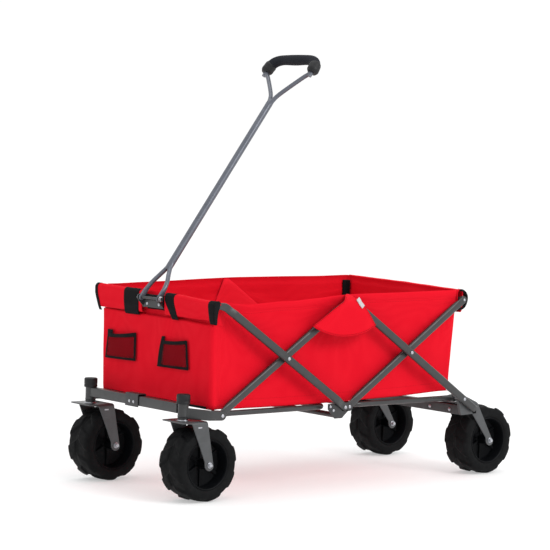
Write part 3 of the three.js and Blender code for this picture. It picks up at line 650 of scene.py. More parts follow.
# ---------- front base ----------
bar = Build()
rows = [
    [(POST_X + a, y, 243 + b) for a, b in rounded(11, 13, 3, 4)]
    for y in np.linspace(-191.7, 191.7, 9)
]
bar.loft(rows)
piece("crossbar_front", bar, [STEEL], "front_base", ["front_crossbar"], slot="frame", bevel=0.8)


def arm_heights(x):
    """The arm's lower and upper edge, tapering from the post to the round end about the pivot."""
    t = (POST_X + 8 - x) / (POST_X + 8 - FRONT_X)
    if x < FRONT_X:
        half = math.sqrt(max(0.4, 12.5**2 - (x - FRONT_X) ** 2))
        return LOW - half, LOW + half
    return mix(218, LOW - 12.5, t), mix(247, LOW + 12.5, t)


post = Build()
post.turned(
    (POST_X, WHEEL_Y, 216),
    (0, 0, 1),
    [(12.8, 0), (14, 1), (14, 6), (14.5, 7), (14.5, 9), (14, 10), (14, 45), (13, 46)],
    32,
)
plan = [(566, 212), (556, 222), (545, 234), (534, 246), (526, 254), (520, 258), (512, 258)]
plan += [(500, 258), (490, 258), (480, 258)]
plan += [(480 - 12.5 * math.sin(math.radians(a)), 258) for a in (25, 50, 70, 85)]
rings = []
for i, (x, y) in enumerate(plan):
    before, after = plan[max(i - 1, 0)], plan[min(i + 1, len(plan) - 1)]
    along = Vector((after[0] - before[0], after[1] - before[1])).normalized()
    low, high = arm_heights(x)
    ring = []
    for a, b in rounded((high - low) / 2, 4, min(2.6, (high - low) / 2.2), 4):
        ring.append((x - along.y * b, y + along.x * b, (low + high) / 2 + a))
    rings.append(ring)
post.loft(rings)
rivet(post, *front_low, RAIL_Y - RAIL_R, 262)
pair("corner_post_{}", post, [STEEL, ZINC], "front_base", ["front_corner_post_{}"], slot="frame")

CAP_PROFILE = [(17, 0), (18, 0.8), (18, 6), (17.3, 7), (17.3, 8.2), (18, 9.2), (18, 21)]
CAP_PROFILE += [(17.4, 23.4), (15.6, 24.7), (6, 25)]
cap = Build()
cap.turned((POST_X, WHEEL_Y, 256), (0, 0, 1), CAP_PROFILE, 36)
pair("cap_{}", cap, [PLASTIC], "front_base", ["post_cap_{}"], slot="black_plastic")

bracket = Build()
outer = [(-14, 227), (-14, 258), (-12.8, 260.8), (-10, 262)]
outer += [(-x, z) for x, z in reversed(outer)]
inner = [(-11.3, 227), (-11.3, 257.8), (-9.5, 259.3)]
inner += [(-x, z) for x, z in reversed(inner)]
bracket.plate([(POST_X + x, z) for x, z in outer + inner[::-1]], -28, 28)
for y in (-9, 9):
    bracket.turned((POST_X + 13.8, y, 240), (1, 0, 0), [(r * 0.66, h) for r, h in HEAD_OUT], 18, 1)
nodes = ["front_centre_bracket"]
piece("bracket_front", bracket, [DARK, ZINC], "front_base", nodes, slot="black_metal", bevel=0.6)


# ---------- forks ----------
def leg_range(axle_x, top, z):
    """A leg's rear and front edge at a height: straight sides down to a round end about the axle."""
    dz = z - WHEEL_R
    half = math.sqrt(max(0.2, LEG_END**2 - dz * dz)) if abs(dz) < LEG_END else 0
    ranges = []
    for sign, edge in ((-1, top[0]), (1, top[1])):
        joint = (axle_x + sign * 14.09, WHEEL_R + sign * 5.14)
        if z > joint[1]:
            ranges.append(mix(joint[0], edge, (z - joint[1]) / (FORK_TOP - joint[1])))
        else:
            ranges.append(axle_x + sign * half)
    return ranges


def fork(build, axle_x, top, plate):
    """A pressed steel fork: two tapered legs bent down from the plate over the wheel."""
    bend, out, wall = 7.0, 49.5, 4.0
    path = []
    drops = [WHEEL_R - LEG_END * math.cos(math.radians(a)) for a in (3, 14, 28, 42, 56, 72, 90)]
    for z in drops + list(np.linspace(108, FORK_TOP - bend, 7)):
        path.append((out, z, 1.0, 0.0, 0.0))
    for i in range(1, 6):
        a = math.radians(90 * i / 6)
        y, z = out - bend + bend * math.cos(a), FORK_TOP - bend + bend * math.sin(a)
        path.append((y, z, math.cos(a), math.sin(a), i / 6))
    for y in (out - bend, 20, 0):
        path.append((y, FORK_TOP, 0.0, 1.0, 1.0))
    path += [(-y, z, -ny, nz, t) for y, z, ny, nz, t in reversed(path[:-1])]
    rings = []
    for y, z, ny, nz, t in path:
        x0, x1 = leg_range(axle_x, top, min(z, FORK_TOP - bend))
        x0, x1 = mix(x0, plate[0], ease(t)), mix(x1, plate[1], ease(t))
        soft = min(1.2, (x1 - x0) / 3)
        ring = []
        for x, depth in (
            (x0 + soft, 0),
            (x1 - soft, 0),
            (x1, soft),
            (x1, wall - soft),
            (x1 - soft, wall),
            (x0 + soft, wall),
            (x0, wall - soft),
            (x0, soft),
        ):
            ring.append((x, WHEEL_Y + y - ny * depth, z - nz * depth))
        rings.append(ring)
    build.loft(rings)


def stamped(build, x, z):
    """A small bright slot in the top of each leg."""
    for side in (-1, 1):
        outline = stadium((x - 5, z), (x + 5, z), 1.8, 6)
        build.plate(outline, WHEEL_Y + side * 49.2, WHEEL_Y + side * 49.8, 1)


made = Build()
fork(made, AXLE_X, (522, 574), (522, 600))
stamped(made, 547, 198)
made.turned(
    (POST_X, WHEEL_Y, FORK_TOP - 1),
    (0, 0, 1),
    [(17.5, 0), (17.5, 1.6), (16.5, 2.4), (14, 2.5), (14, 3.4), (8, 3.5), (8, 42)],
    32,
    1,
)
pair("fork_caster_{}", made, [FORK, ZINC], "caster_{}", ["caster_fork_{}"], slot="frame", bevel=0.5)

made = Build()
fork(made, -AXLE_X, (-456, -411), (-456, -392))
stamped(made, -434, 199)
cheek = [(REAR_X + 12, LOW - 4), (REAR_X + 8, LOW + 10), (REAR_X - 6, LOW + 11), (-452, FORK_TOP)]
cheek += [(-452, 180), (-392, 178)]
made.plate(cheek, 247, 255.5)
pair("fork_rear_{}", made, [FORK, ZINC], "rear_base", ["rear_fork_{}"], slot="frame", bevel=0.8)


def axle_bolt(x):
    """A hexagon bolt through the wheel, with washers and a nut."""
    made = Build()
    for side in (-1, 1):
        at = (x, WHEEL_Y + side * 49.8, WHEEL_R)
        axis = (0, side, 0)
        made.turned(at, axis, [(7.8, 0), (7.8, 1.1), (7.3, 1.4)], 28)
        made.turned(at, axis, [(6, 1.3), (6, 4.6), (5.2, 5.4), (4.8, 5.6)], 6)
        if side > 0:
            made.turned(at, axis, [(4.8, 1.5), (4.8, 6.2), (3.8, 7.4), (1.6, 8)], 24)
    made.turned((x, WHEEL_Y - 58, WHEEL_R), (0, 1, 0), [(4.4, 0), (5, 0.8), (5, 108)], 20)
    return made


pair("bolt_front_{}", axle_bolt(AXLE_X), [ZINC], "caster_{}", ["caster_axle_bolt_{}"], slot="zinc", sharp=30)
pair("bolt_rear_{}", axle_bolt(-AXLE_X), [ZINC], "rear_base", ["rear_axle_bolt_{}"], slot="zinc", sharp=30)

# ---------- rear crossbar ----------
bar = Build()
rows = [
    [(-402 + a, y, 192.4 + b) for a, b in rounded(11, 14.3, 3, 4)]
    for y in np.linspace(-246.6, 246.6, 9)
]
bar.loft(rows)
for y in (-208, -128, 128, 208):
    for x, axis in ((-391, 1), (-413, -1)):
        bar.turned((x - 0.2 * axis, y, 190), (axis, 0, 0), [(r * 0.8, h) for r, h in HEAD_OUT], 18, 1)
piece("crossbar_rear", bar, [DARK, ZINC], "rear_base", ["rear_crossbar"], slot="black_metal", bevel=0.8)

# ---------- wheels ----------
TREAD = [(66.4, 40.5), (69, 43.2), (76, 44.2), (82, 44.4), (87, 44), (90.6, 41)]
TREAD += [(92.6, 34), (93.4, 18), (93.7, 0)]
LUGS = 8


def tyre(centre):
    """A balloon tyre with two rows of slanted lugs that wrap over its shoulders."""
    half = [(r, -y) for r, y in TREAD]
    profile = half + [(r, y) for r, y in reversed(TREAD[:-1])]
    path = resample([(r, y, 0) for r, y in profile], 2.6)
    middle = len(path) // 2
    step = (path[1] - path[0]).length
    around = 208
    rows = []
    for k, p in enumerate(path):
        q = (k - middle) * step
        a, b = path[max(k - 1, 0)], path[min(k + 1, len(path) - 1)]
        along = (b - a).normalized()
        out = Vector((along.y, -along.x))
        wide = 0.2 + 0.1 * min(1, abs(q) / 46)
        across = ease((abs(q) - 1.5) / 5) * ease((66 - abs(q)) / 5)
        height = mix(4.7, 0.5, ease((abs(q) - 37) / 9))
        row = []
        for i in range(around):
            turn = i / around
            phase = (turn + abs(q) * 0.0011) * LUGS + (0 if q > 0 else 0.5)
            off = abs((phase + 0.5) % 1 - 0.5)
            lug = ease((wide - off) / 0.055 + 0.5) * across
            centre_rib = ease((4.5 - abs(q)) / 3) * 0.25
            lift = height * max(lug, centre_rib)
            ripple = 0.35 * ease((abs(q) - 52) / 3) * ease((62 - abs(q)) / 3)
            r, y = p.x + out.x * (lift + ripple), p.y + out.y * (lift + ripple)
            angle = 2 * math.pi * turn
            row.append((centre[0] + r * math.sin(angle), centre[1] + y, centre[2] - r * math.cos(angle)))
        rows.append(row)
    made = Build()
    made.grid(rows, around=True)
    return made


def rim(centre):
    """A moulded rim: a barrel with rolled lips, a hub, a closed disc and six ribbed spokes."""
    made = Build()
    section = [(66, -39), (66.6, -41.6), (64.8, -43), (62.8, -41.8), (61.6, -38), (60, -22), (58.4, -8)]
    section += [(58.4, 8), (60, 22), (61.6, 38), (62.8, 41.8), (64.8, 43), (66.6, 41.6), (66, 39)]
    section += [(66, 20), (65.4, 0), (66, -20)]
    segments = 72
    rows = []
    for r, y in section + section[:1]:
        rows.append(
            [
                (
                    centre[0] + r * math.cos(2 * math.pi * i / segments),
                    centre[1] + y,
                    centre[2] + r * math.sin(2 * math.pi * i / segments),
                )
                for i in range(segments)
            ]
        )
    made.grid(rows, around=True)
    half_hub = [(9.5, 43), (12, 43), (13, 42), (13.6, 12), (17, 8)]
    hub = [(r, -y) for r, y in half_hub] + half_hub[::-1]
    made.turned(centre, (0, 1, 0), hub, 36)
    made.turned(centre, (0, 1, 0), [(13, -7), (40, -5), (60, -9), (60, 9), (40, 5), (13, 7)], 48)
    for side in (-1, 1):
        made.turned(centre, (0, side, 0), [(9.6, 42.6), (9.6, 43.4), (8.6, 43.8), (5.4, 43.8)], 28, 1)
    for k in range(6):
        a = math.pi * (k / 3 + 1 / 6)
        ux, uz = math.cos(a), math.sin(a)
        for width, deep in (((11, 8.5), (6.5, 5)), ((3.2, 2.6), (13, 10))):
            rings = []
            for s, t in ((14, 0), (22, 0.2), (34, 0.5), (46, 0.8), (59.5, 1)):
                flare = 1 + 0.7 * ease((s - 46) / 14) + 0.5 * ease((24 - s) / 10)
                w, d = mix(*width, t) * flare, mix(*deep, t) * (1 + 0.3 * ease((s - 48) / 11))
                ring = []
                for across_it, through in rounded(w, d, min(w, d) * 0.45, 3):
                    ring.append(
                        (
                            centre[0] + ux * s - uz * across_it,
                            centre[1] + through,
                            centre[2] + uz * s + ux * across_it,
                        )
                    )
                rings.append(ring)
            made.loft(rings)
    return made


for end, x in (("front", AXLE_X), ("rear", -AXLE_X)):
    centre = (x, WHEEL_Y, WHEEL_R)
    tread = tyre(centre)
    disc = rim(centre)
    wheel = end + "_wheel_{}"
    pair("tyre_%s_{}" % end, tread, [RUBBER], wheel, [end + "_tyre_{}"], slot="tyre", open_sheet=True)
    pair("rim_%s_{}" % end, disc, [RIM, ZINC], wheel, [end + "_rim_{}"], slot="rim")


# ---------- floor rails ----------
def floor_frame(build, pivot, direction):
    """A U of bent tube with a flattened eye round each pivot."""
    end, bend = pivot + direction * RAIL_LENGTH, 30
    path = [(pivot + direction * d, RAIL_Y, LOW) for d in (6, 14, 24, 60, 150, 260, 340)]
    for i in range(9):
        a = math.radians(90 * i / 8)
        path.append((end - direction * bend * (1 - math.sin(a)), RAIL_Y - bend * (1 - math.cos(a)), LOW))
    path += [(end, y, LOW) for y in (160, 100, 50)]
    path += [(x, -y, z) for x, y, z in reversed(path)]
    sizes = []
    for x, _, _ in path:
        opened = ease((abs(x - pivot) - 8) / 24)
        sizes.append((mix(10, RAIL_R, opened), mix(5.5, RAIL_R, opened)))
    build.sweep(path, sizes, 18, wide=(0, 0, 1))
    for side in (-1, 1):
        at = (pivot, side * RAIL_Y - 5.5, LOW)
        build.turned(at, (0, 1, 0), [(10.4, 0), (11, 0.8), (11, 10.2), (10.4, 11)], 28)


for name, pivot, direction, body in (
    ("front", FRONT_X, -1, "front_floor"),
    ("rear", REAR_X, 1, "rear_floor"),
):
    rails = Build()
    floor_frame(rails, pivot, direction)
    piece(f"floor_rails_{name}", rails, [STEEL], body, [f"{name}_floor_frame"], slot="frame")

# ---------- top rails ----------
for name, (x, z), eye in (("front", TOP_RAIL, (249.5, 255.3)), ("rear", rear_high, (241.5, 246.5))):
    rail = Build()
    rail.turned((x, -eye[0] - 1, z), (0, 1, 0), [(7, 0), (7, 2 * eye[0] + 2)], 24)
    wide = eye[1] - eye[0]
    for side in (-1, 1):
        radius = FRONT_EYE if name == "front" else 10
        ends = [(radius - 0.6, 0), (radius, 0.8), (radius, wide - 0.8), (radius - 0.6, wide)]
        rail.turned((x, side * eye[0], z), (0, side, 0), ends, 28)
    piece(f"top_rail_{name}", rail, [STEEL], f"{name}_top", [f"{name}_top_rail"], slot="frame")

# ---------- handle ----------
# Built upright over its pivot and leaned back: s is the distance from the pivot along the tube.
LEAN = math.radians(36.4)
PIVOT = (528, 512)


def leaned(points):
    return [
        (
            PIVOT[0] + p[0] * math.cos(LEAN) - p[2] * math.sin(LEAN),
            p[1],
            PIVOT[1] + p[0] * math.sin(LEAN) + p[2] * math.cos(LEAN),
        )
        for p in points
    ]


def lean(build):
    build.points = leaned(build.points)
    return build


GRIP_S = 806
GRIP_LINE = [(-97, -56), (-97, -34), (-88, -11), (-60, 0), (0, 0.6), (60, 0), (88, -11), (97, -34), (97, -56)]
grip_path = smooth_path([(0, y, GRIP_S + z) for y, z in GRIP_LINE], 8)

handle = Build()
tube = [(0, 0, s) for s in (92, 94, 98, 106, 120, 640, 652, 660, 666, 668)]
radii = [(5.5, 6), (7.4, 8.2), (9, 10), (9.5, 9.7), (9.5, 9.5)]
radii += [(9.5, 9.5), (9.5, 9.8), (9, 10), (7.4, 8.4), (5, 6)]
handle.sweep(tube, radii, 28, wide=(1, 0, 0))
for side in (-1, 1):
    path = smooth_path(
        [
            (0, side * 38, -7.5),
            (0, side * 38, 0),
            (0, side * 38, 18),
            (0, side * 37, 30),
            (0, side * 31, 52),
            (0, side * 18, 76),
            (0, side * 7, 98),
            (0, side * 4, 112),
        ],
        7,
    )
    sizes = []
    for p in path:
        opened = ease((p.z - 14) / 26)
        wide = mix(8.6, 6, opened)
        if p.z < 0:
            wide = math.sqrt(max(0.3, 8.6**2 - p.z**2))
        sizes.append((wide, mix(2.4, 6, opened)))
    handle.sweep(path, sizes, 20, wide=(1, 0, 0))
    path = smooth_path(
        [
            (0, side * 4, 646),
            (0, side * 7, 664),
            (0, side * 20, 688),
            (0, side * 72, 742),
            (0, side * 90, 757),
            (0, side * 97, 770),
            (0, side * 97, 784),
        ],
        7,
    )
    handle.sweep(path, 6.0, 20)
handle.sweep(grip_path, 6.0, 16)
piece("handle_tube", lean(handle), [HANDLE], "handle", ["handle_frame"], slot="handle_tube")

line = resample(grip_path, 3)
inside = [p for p in line if abs(p.y) < 92 or p.z > GRIP_S - 26]
grip = Build()
sizes = []
for i, p in enumerate(inside):
    edge = min(i, len(inside) - 1 - i)
    radius = 15 + 0.5 * math.cos(p.y / 16) - 0.6
    sizes.append(radius * (0.86 + 0.14 * ease(edge / 2.0)))
grip.sweep(inside, sizes, 32)
piece("grip", lean(grip), [FOAM], "handle", ["handle_grip"], slot="grip_foam")
collar_line = [p for p in line if p.y > 88 and GRIP_S - 46 < p.z < GRIP_S - 14]
collar = Build()
profile = [15.2, 16.6, 17, 17, 16.8, 17, 17, 16.4, 14.6, 12.5]
at = np.linspace(0, len(collar_line) - 1, len(profile))
collar.sweep([collar_line[int(round(i))] for i in sorted(at)], profile, 32)
lean(collar)
pair("collar_{}", collar, [PLASTIC], "handle", ["grip_collar_{}"], slot="black_plastic")

bracket = Build()
bracket.plate([(-46, 486), (46, 486), (46, 506), (-46, 506)], 515.3, 518.3, facing="x")
ear = [(515.3, 486), (530, 500)]
ear += [(PIVOT[0] + 9 * math.cos(a), PIVOT[1] + 9 * math.sin(a)) for a in np.linspace(-0.9, 2.24, 12)]
ear.append((515.3, 506))
for low, high in ((43, 46), (-46, -43)):
    bracket.plate(ear, low, high)
for y in (-26, 26):
    bracket.turned((518.1, y, 496), (1, 0, 0), [(r * 0.7, h * 0.8) for r, h in HEAD_OUT], 18, 1)
piece(
    "bracket_handle", bracket, [DARK, ZINC], "front_top", ["handle_bracket"], slot="black_metal", bevel=0.7
)
bolt = Build()
bolt.turned((PIVOT[0], -46, PIVOT[1]), (0, 1, 0), [(4, 0), (4, 92)], 18, 1)
for side in (-1, 1):
    at = (PIVOT[0], side * 46.3, PIVOT[1])
    bolt.turned(at, (0, side, 0), [(8, 0), (8, 1), (7.5, 1.2)], 24)
    bolt.turned(at, (0, side, 0), [(6.6, 1.1), (6.6, 4.2), (5.6, 5)], 6)
piece("bolt_handle", bolt, [ZINC, DARK], "front_top", ["handle_pivot_bolt"], slot="zinc", sharp=30)

# ---------- basket ----------
NEAR_RIM = [(-379, 534), (-163, 531), (0, 530), (54, 528), (110, 525), (133, 521), (177, 520), (210, 516)]
NEAR_RIM += [(266, 516), (325, 512.6), (383, 508.6), (441, 513), (497, 520)]
FAR_RIM = [(-379, 545), (-266, 543), (-133, 544), (60, 544), (185, 541), (282, 537.5), (400, 535), (497, 532)]
FRONT_RIM = [(-250, 533.5), (-136, 531), (108, 527.5), (217, 522), (250, 521)]
REAR_RIM = [(-236, 545), (0, 541), (236, 534)]
BOTTOM_LINE = [(-379, 250), (-287, 246), (-180, 241), (-26, 238), (165, 235.5)]
BOTTOM_LINE += [(300, 236), (420, 237.5), (500, 240)]


def along(line, at):
    """The height of a line of points, softened at its corners."""
    xs, zs = zip(*line)
    near = [float(np.interp(at + d, xs, zs)) for d in (-20, 0, 20)]
    return (near[0] + 2 * near[1] + near[2]) / 4


def rim_height(x, y):
    """The slack rim: it sags between the frame's corners and the flap, less on the right side."""
    end = along(FRONT_RIM, y) - 1.2 if x > 60 else along(REAR_RIM, y) - 1.2
    side = along(NEAR_RIM if y > 0 else FAR_RIM, x)
    return mix(end, side, ease((abs(y) - 190) / 36))


def wall_loop(v):
    """The wall's outline at a share of its height: points and outward directions."""
    x0, x1 = mix(-367, -379, v), mix(mix(504.4, 508, min(1, v / 0.765)), 497, ease((v - 0.77) / 0.02))
    half, corner = mix(228, 235.2, v), mix(14, 12, v)
    front_half = mix(242, 243, ease(v / 0.4))
    points = []
    straight = [
        ((x1 - corner, half), (x0 + corner, half), (0, 1), 132),
        ((x0, half - corner), (x0, -half + corner), (-1, 0), 66),
        ((x0 + corner, -half), (x1 - corner, -half), (0, -1), 132),
        ((x1, -half + corner), (x1, half - corner), (1, 0), 66),
    ]
    centres = [
        (x0 + corner, half - corner, 90),
        (x0 + corner, -half + corner, 180),
        (x1 - corner, -half + corner, 270),
        (x1 - corner, half - corner, 0),
    ]
    for (a, b, n, count), (cx, cy, start) in zip(straight, centres):
        for i in range(count):
            t = i / (count - 1)
            points.append((mix(a[0], b[0], t), mix(a[1], b[1], t), n[0], n[1]))
        for i in range(1, 8):
            turn = math.radians(start + 90 * i / 8)
            c, s = math.cos(turn), math.sin(turn)
            points.append((cx + corner * c, cy + corner * s, c, s))
    wider = front_half / half - 1
    return [(x, y * (1 + wider * ease((x - x1 + 42) / 34)), nx, ny) for x, y, nx, ny in points]


def slack(x, y, z, nx, ny):
    """How far the cloth stands out from its flat wall, in millimetres."""
    height = min(1.0, max(0.0, (z - FLOOR_Z) / DEPTH))
    out = 1.6 * wobble(x, y, z, 130, 3) + 0.9 * wobble(x, y * 1.2, z, 55, 8)
    if abs(ny) > abs(nx):
        pull = 0.0
        for cx, cz, lean_x in ((FRONT_X, HIGH, -1), (REAR_X, HIGH, 1), (45, HIGH, -1), (45, HIGH, 1)):
            dx, dz = (x - cx) * lean_x, cz - z
            reach = math.hypot(dx, dz)
            if dx > 0 and dz > 0:
                fan = math.sin(math.atan2(dz, dx) * 11 + cx * 0.01)
                pull += fan * 1.5 * ease(reach / 60) * ease((260 - reach) / 220)
        belly = -5.0 * math.sin(math.pi * min(1, height)) ** 1.5
        belly += 3.5 * math.sin(math.pi * min(1, height * 1.15)) * (0.5 + 0.5 * wobble(x, 0, 0, 210, 5))
        out += pull + belly
    elif nx > 0:
        folds = 1.7 * math.sin(y / 21 + 1.5 * wobble(y, z, 0, 120, 2)) * ease((height - 0.02) / 0.4)
        out += folds * ease((1.02 - height) / 0.25) * 0.75 - 2.0 * math.sin(math.pi * min(1, height))
        out += 2.4 * wobble(x, y, z * 0.5, 75, 12)
    limit = 1.4 if abs(ny) > abs(nx) else 2.4
    return min(out, limit)


walls = Build()
rows = []
HEIGHTS = [0.0, 0.012, 0.03, 0.055] + list(np.linspace(0.085, 0.745, 31))
HEIGHTS += [0.76, 0.769, 0.775, 0.781, 0.787, 0.793] + list(np.linspace(0.815, 0.915, 6))
HEIGHTS += [0.934, 0.94, 0.965, 0.985, 0.996, 1.0]
for v in HEIGHTS:
    row = []
    for x, y, nx, ny in wall_loop(v):
        top = rim_height(x, y)
        low = mix(EDGE_FRONT if x > 60 else EDGE_REAR, along(BOTTOM_LINE, x), ease((abs(y) - 190) / 36))
        z = mix(low, top, v)
        out = slack(x, y, z, nx, ny) * ease((1.0 - v) / 0.05) * ease(v / 0.05)
        tuck = 3 if nx > 0.5 else 4
        out -= tuck * (1 - math.sin(math.acos(max(0.0, 1 - v / 0.055)))) if v < 0.055 else 0
        out += 0.9 * ease((v - 0.934) / 0.008)
        out -= 1.6 * max(0.0, (v - 0.985) / 0.015)
        row.append((x + nx * out, y + ny * out, z))
    rows.append(row)
walls.grid(rows[::-1], 0, around=True)
count = len(rows[0])
for row, lift in ((HEIGHTS.index(0.934) - 1, 0.3), (4, 0.3)):
    for first, last in ((0, 131), (205 + 7, 205 + 7 + 131)):
        path = [rows[row][i % count] for i in range(first, last + 1)]
        sign = 1 if path[0][1] > 0 else -1
        walls.stitches([(x, y + sign * lift, z) for x, y, z in path], (0, sign, 0), slot=1)


def patch_rows(side, apex, feet):
    """The inside of a wall behind the flap: a doubled triangle, padded a little."""
    made = []
    for j in range(19):
        t = j / 18
        row = []
        for i in range(25):
            s = i / 24
            x = mix(mix(*apex, s), mix(*feet, s), t)
            z = mix(rim_height(x, side * 236) - 2, 440, t)
            pad = 6 * (4 * s * (1 - s)) ** 0.4 * ease(t / 0.15)
            y = 231.8 - 5.6 * math.sin(math.pi * (z - FLOOR_Z) / DEPTH) - pad
            row.append((x, side * y, z))
        made.append(row if side < 0 else row[::-1])
    return made


# A black band along the foot of the front wall: painted shade where the wall meets the floor, not a real
# binding.
foot_shade_rows = []
for z, out in ((247, 0.6), (246.2, 1.5), (243.4, 1.9), (240.8, 1.5), (240, 0.6)):
    v = (z - 240) / 287
    foot_shade_rows.append([(mix(504.4, 508, v / 0.765) + out, y, z) for y in np.linspace(-224, 224, 60)])
basket = piece("basket_walls", walls, [RED, THREAD], "top_hubs", ["basket"], slot="fabric", **SHEET)
basket_trim = []
for name, side, apex, feet in (
    ("basket_patch_left", 1, (38, 84), (-34, 168)),
    ("basket_patch_right", -1, (78, 95), (-66, 144)),
):
    patch = Build()
    patch.grid(patch_rows(side, apex, feet))
    basket_trim.append(piece(name, patch, [PATCH], "top_hubs", slot="fabric", **SHEET))
# The painted shade strip at the foot of the front wall, made of black webbing.
foot_shade_strip = Build()
foot_shade_strip.grid(foot_shade_rows)
basket_trim.append(piece("basket_foot_shade", foot_shade_strip, [BAND], "top_hubs", slot="webbing", **SHEET))
thicken(basket, 1.4, -1)

pads = []
for name, x0, x1, body in (("front", 45.2, 492, "front_floor"), ("rear", 44.9, -364, "rear_floor")):
    pad = Build()
    rows = []
    for i in range(61):
        t = i / 60
        x = mix(x0, x1, t)
        end = min(t, 1 - t) * abs(x1 - x0)
        row = []
        for j in range(45):
            s = j / 44
            y = mix(-PAD_HALF, PAD_HALF, s)
            rim_gap = min(end, PAD_HALF - abs(y))
            crown = 2.2 * ease(rim_gap / 12) + 0.7 * wobble(x, y, 0, 60, 4) * ease(rim_gap / 20)
            groove = min(abs(abs(y) - 112), abs(y))
            row.append((x, y, 247.6 + crown - 1.2 * ease((3 - groove) / 3)))
        rows.append(row)
    under = [[(x, y, 246.9) for x, y, z in row] for row in rows]
    pad.grid(rows)
    pad.grid([row[::-1] for row in under])
    edge = [(x, y, z) for x, y, z in rows[0]] + [row[-1] for row in rows[1:]]
    edge += rows[-1][::-1][1:] + [row[0] for row in rows[::-1][1:-1]]
    ring = [[(x, y, z - drop) for x, y, z in edge] for drop in (0, 0.8)]
    pad.grid(ring, around=True)
    for y in (-112, 0, 112):
        pad.stitches([(x, y, 248.8) for x in np.linspace(x0, x1, 30)][1:-1], (0, 0, 1), slot=1)
    pads.append(piece(f"basket_floor_{name}", pad, [RED, THREAD], body, slot="fabric", sharp=60))


# ---------- hems ----------
def hem_section(centre_x, centre_z, outward, y):
    """The sleeve round a top rail: up the inside, over the rail, and down the outside."""
    sag = 1.6 * wobble(y, 0, 0, 70, 6) + 0.8 * wobble(y, 0, 0, 24, 1)
    points = [(-9.2, -30 + sag), (-9.3, -20), (-9.4, -8)]
    for a in range(0, 181, 18):
        t = math.radians(180 - a)
        lump = 1 + 0.05 * wobble(y, a, 0, 40, 3)
        points.append((9.6 * lump * math.cos(t), 8.2 + (10 + 0.3 * sag) * lump * math.sin(t)))
    line = FRONT_RIM if outward > 0 else REAR_RIM
    lift = along(line, y) - HEM_LEVEL
    points = [(px, pz + lift * ease((pz + 8) / 20)) for px, pz in points]
    drop = [-4, -12, -20, -28, -34, -37.2, -38.6, -38]
    reach = [9.6, 9.2, 8.4, 7.6, 7.0, 5.6, 2.5, -1.5]
    for d, r in zip(drop, reach):
        ripple = 0.8 * wobble(y, d, 0, 34, 9) + 0.5 * math.sin(y / 13) * (-d / 40)
        points.append((r + ripple, d + 0.6 * sag))
    return [(centre_x + outward * x, y, centre_z + z) for x, z in points]


def hem(build, centre_x, centre_z, outward, half, notch=0):
    """A hem along a rail; the notch leaves only its inner side in the middle."""
    spans = [(-half, half, 0)] if not notch else [(-half, -notch, 0), (notch, half, 0)]
    if notch:
        spans += [(-263, -half, 3), (half, 263.2, 3)]
    for low, high, skip in spans:
        count = max(5, int((high - low) / 5))
        rows = [hem_section(centre_x, centre_z, outward, y)[skip:] for y in np.linspace(low, high, count)]
        if low < -half:
            rows = [
                [(x, max(y, -263 + 20 * ease((centre_z - 4 - z) / 44)), z) for x, y, z in row] for row in rows
            ]
        build.grid(rows if outward < 0 else [r[::-1] for r in rows], 0)
        lifted = [(x + outward * 0.9, y, z + 3) for x, y, z in (row[-3] for row in rows)]
        build.stitches(lifted, (outward, 0, 0), slot=1)
    if notch:
        rows = []
        for y in np.linspace(-notch, notch, 22):
            row = hem_section(centre_x, centre_z, outward, y)[:3]
            for a in range(200, -61, -20):
                t = math.radians(a)
                row.append((centre_x + 8.6 * math.cos(t), y, centre_z + 8.6 * math.sin(t)))
            rows.append(row)
        build.grid([r[::-1] for r in rows], 2)


for name, where, half, notch, body in (
    ("front", (508, 510, 1), 246, 50, "front_top"),
    ("rear", (-390.3, 510, -1), 235, 0, "rear_top"),
):
    sleeve = Build()
    hem(sleeve, *where, half, notch)
    made = piece(f"hem_{name}", sleeve, [RED, THREAD, BAND], body, [f"{name}_hem"], slot="fabric", **SHEET)
    thicken(made, 1.2, -1)

# ---------- webbing ----------
OVER_HEM = [(496, 498), (496.6, 512), (497, 521)]
ARC = [math.radians(a) for a in range(165, -1, -15)]
OVER_HEM += [(508 + 11.4 * math.cos(a), 518.2 + 12.0 * math.sin(a)) for a in ARC]
OVER_HEM += [(519.6, 508), (519.2, 496), (518.4, 484), (517.0, 472), (514.4, 465), (512.6, 461.5)]


def strap(low_y, high_y, foot_low, foot_high, first=0):
    """A band over the front hem. Its foot can stand to one side of its top."""
    made = Build()
    rows = []
    for i, (x, z) in enumerate(OVER_HEM[first:]):
        z += (along(FRONT_RIM, (low_y + high_y) / 2) - HEM_LEVEL) * ease((z - 502) / 20)
        t = ease((516 - z) / 52) if x > 508 else 0
        y0, y1 = mix(low_y, foot_low, t), mix(high_y, foot_high, t)
        count = max(3, int(abs(y1 - y0) / 5))
        row = []
        for j in range(count + 1 if i == 0 else len(rows[0])):
            share = j / (len(rows[0]) - 1 if rows else count)
            y = mix(y0, y1, share)
            row.append((x + 0.5 * wobble(y, z, 0, 18, 7), y, z + 0.3 * wobble(y, z, 0, 14, 2)))
        rows.append(row)
    made.grid(rows)
    return made


for name, band, nodes in (
    ("hem_band_right", strap(-130, -62, -129, -66), ["hem_strap_right"]),
    ("hem_band_left", strap(52, 92, 78, 104), ["hem_strap_left"]),
    ("corner_band_left", strap(237, 263.6, 241, 260, 4), ["front_corner_strip_left"]),
    ("corner_band_right", strap(-263.6, -251, -250, -240, 4), ["front_corner_strip_right"]),
):
    made = piece(name, band, [BAND], "front_top", nodes, slot="webbing", **SHEET)
    thicken(made, 1.5, 1)

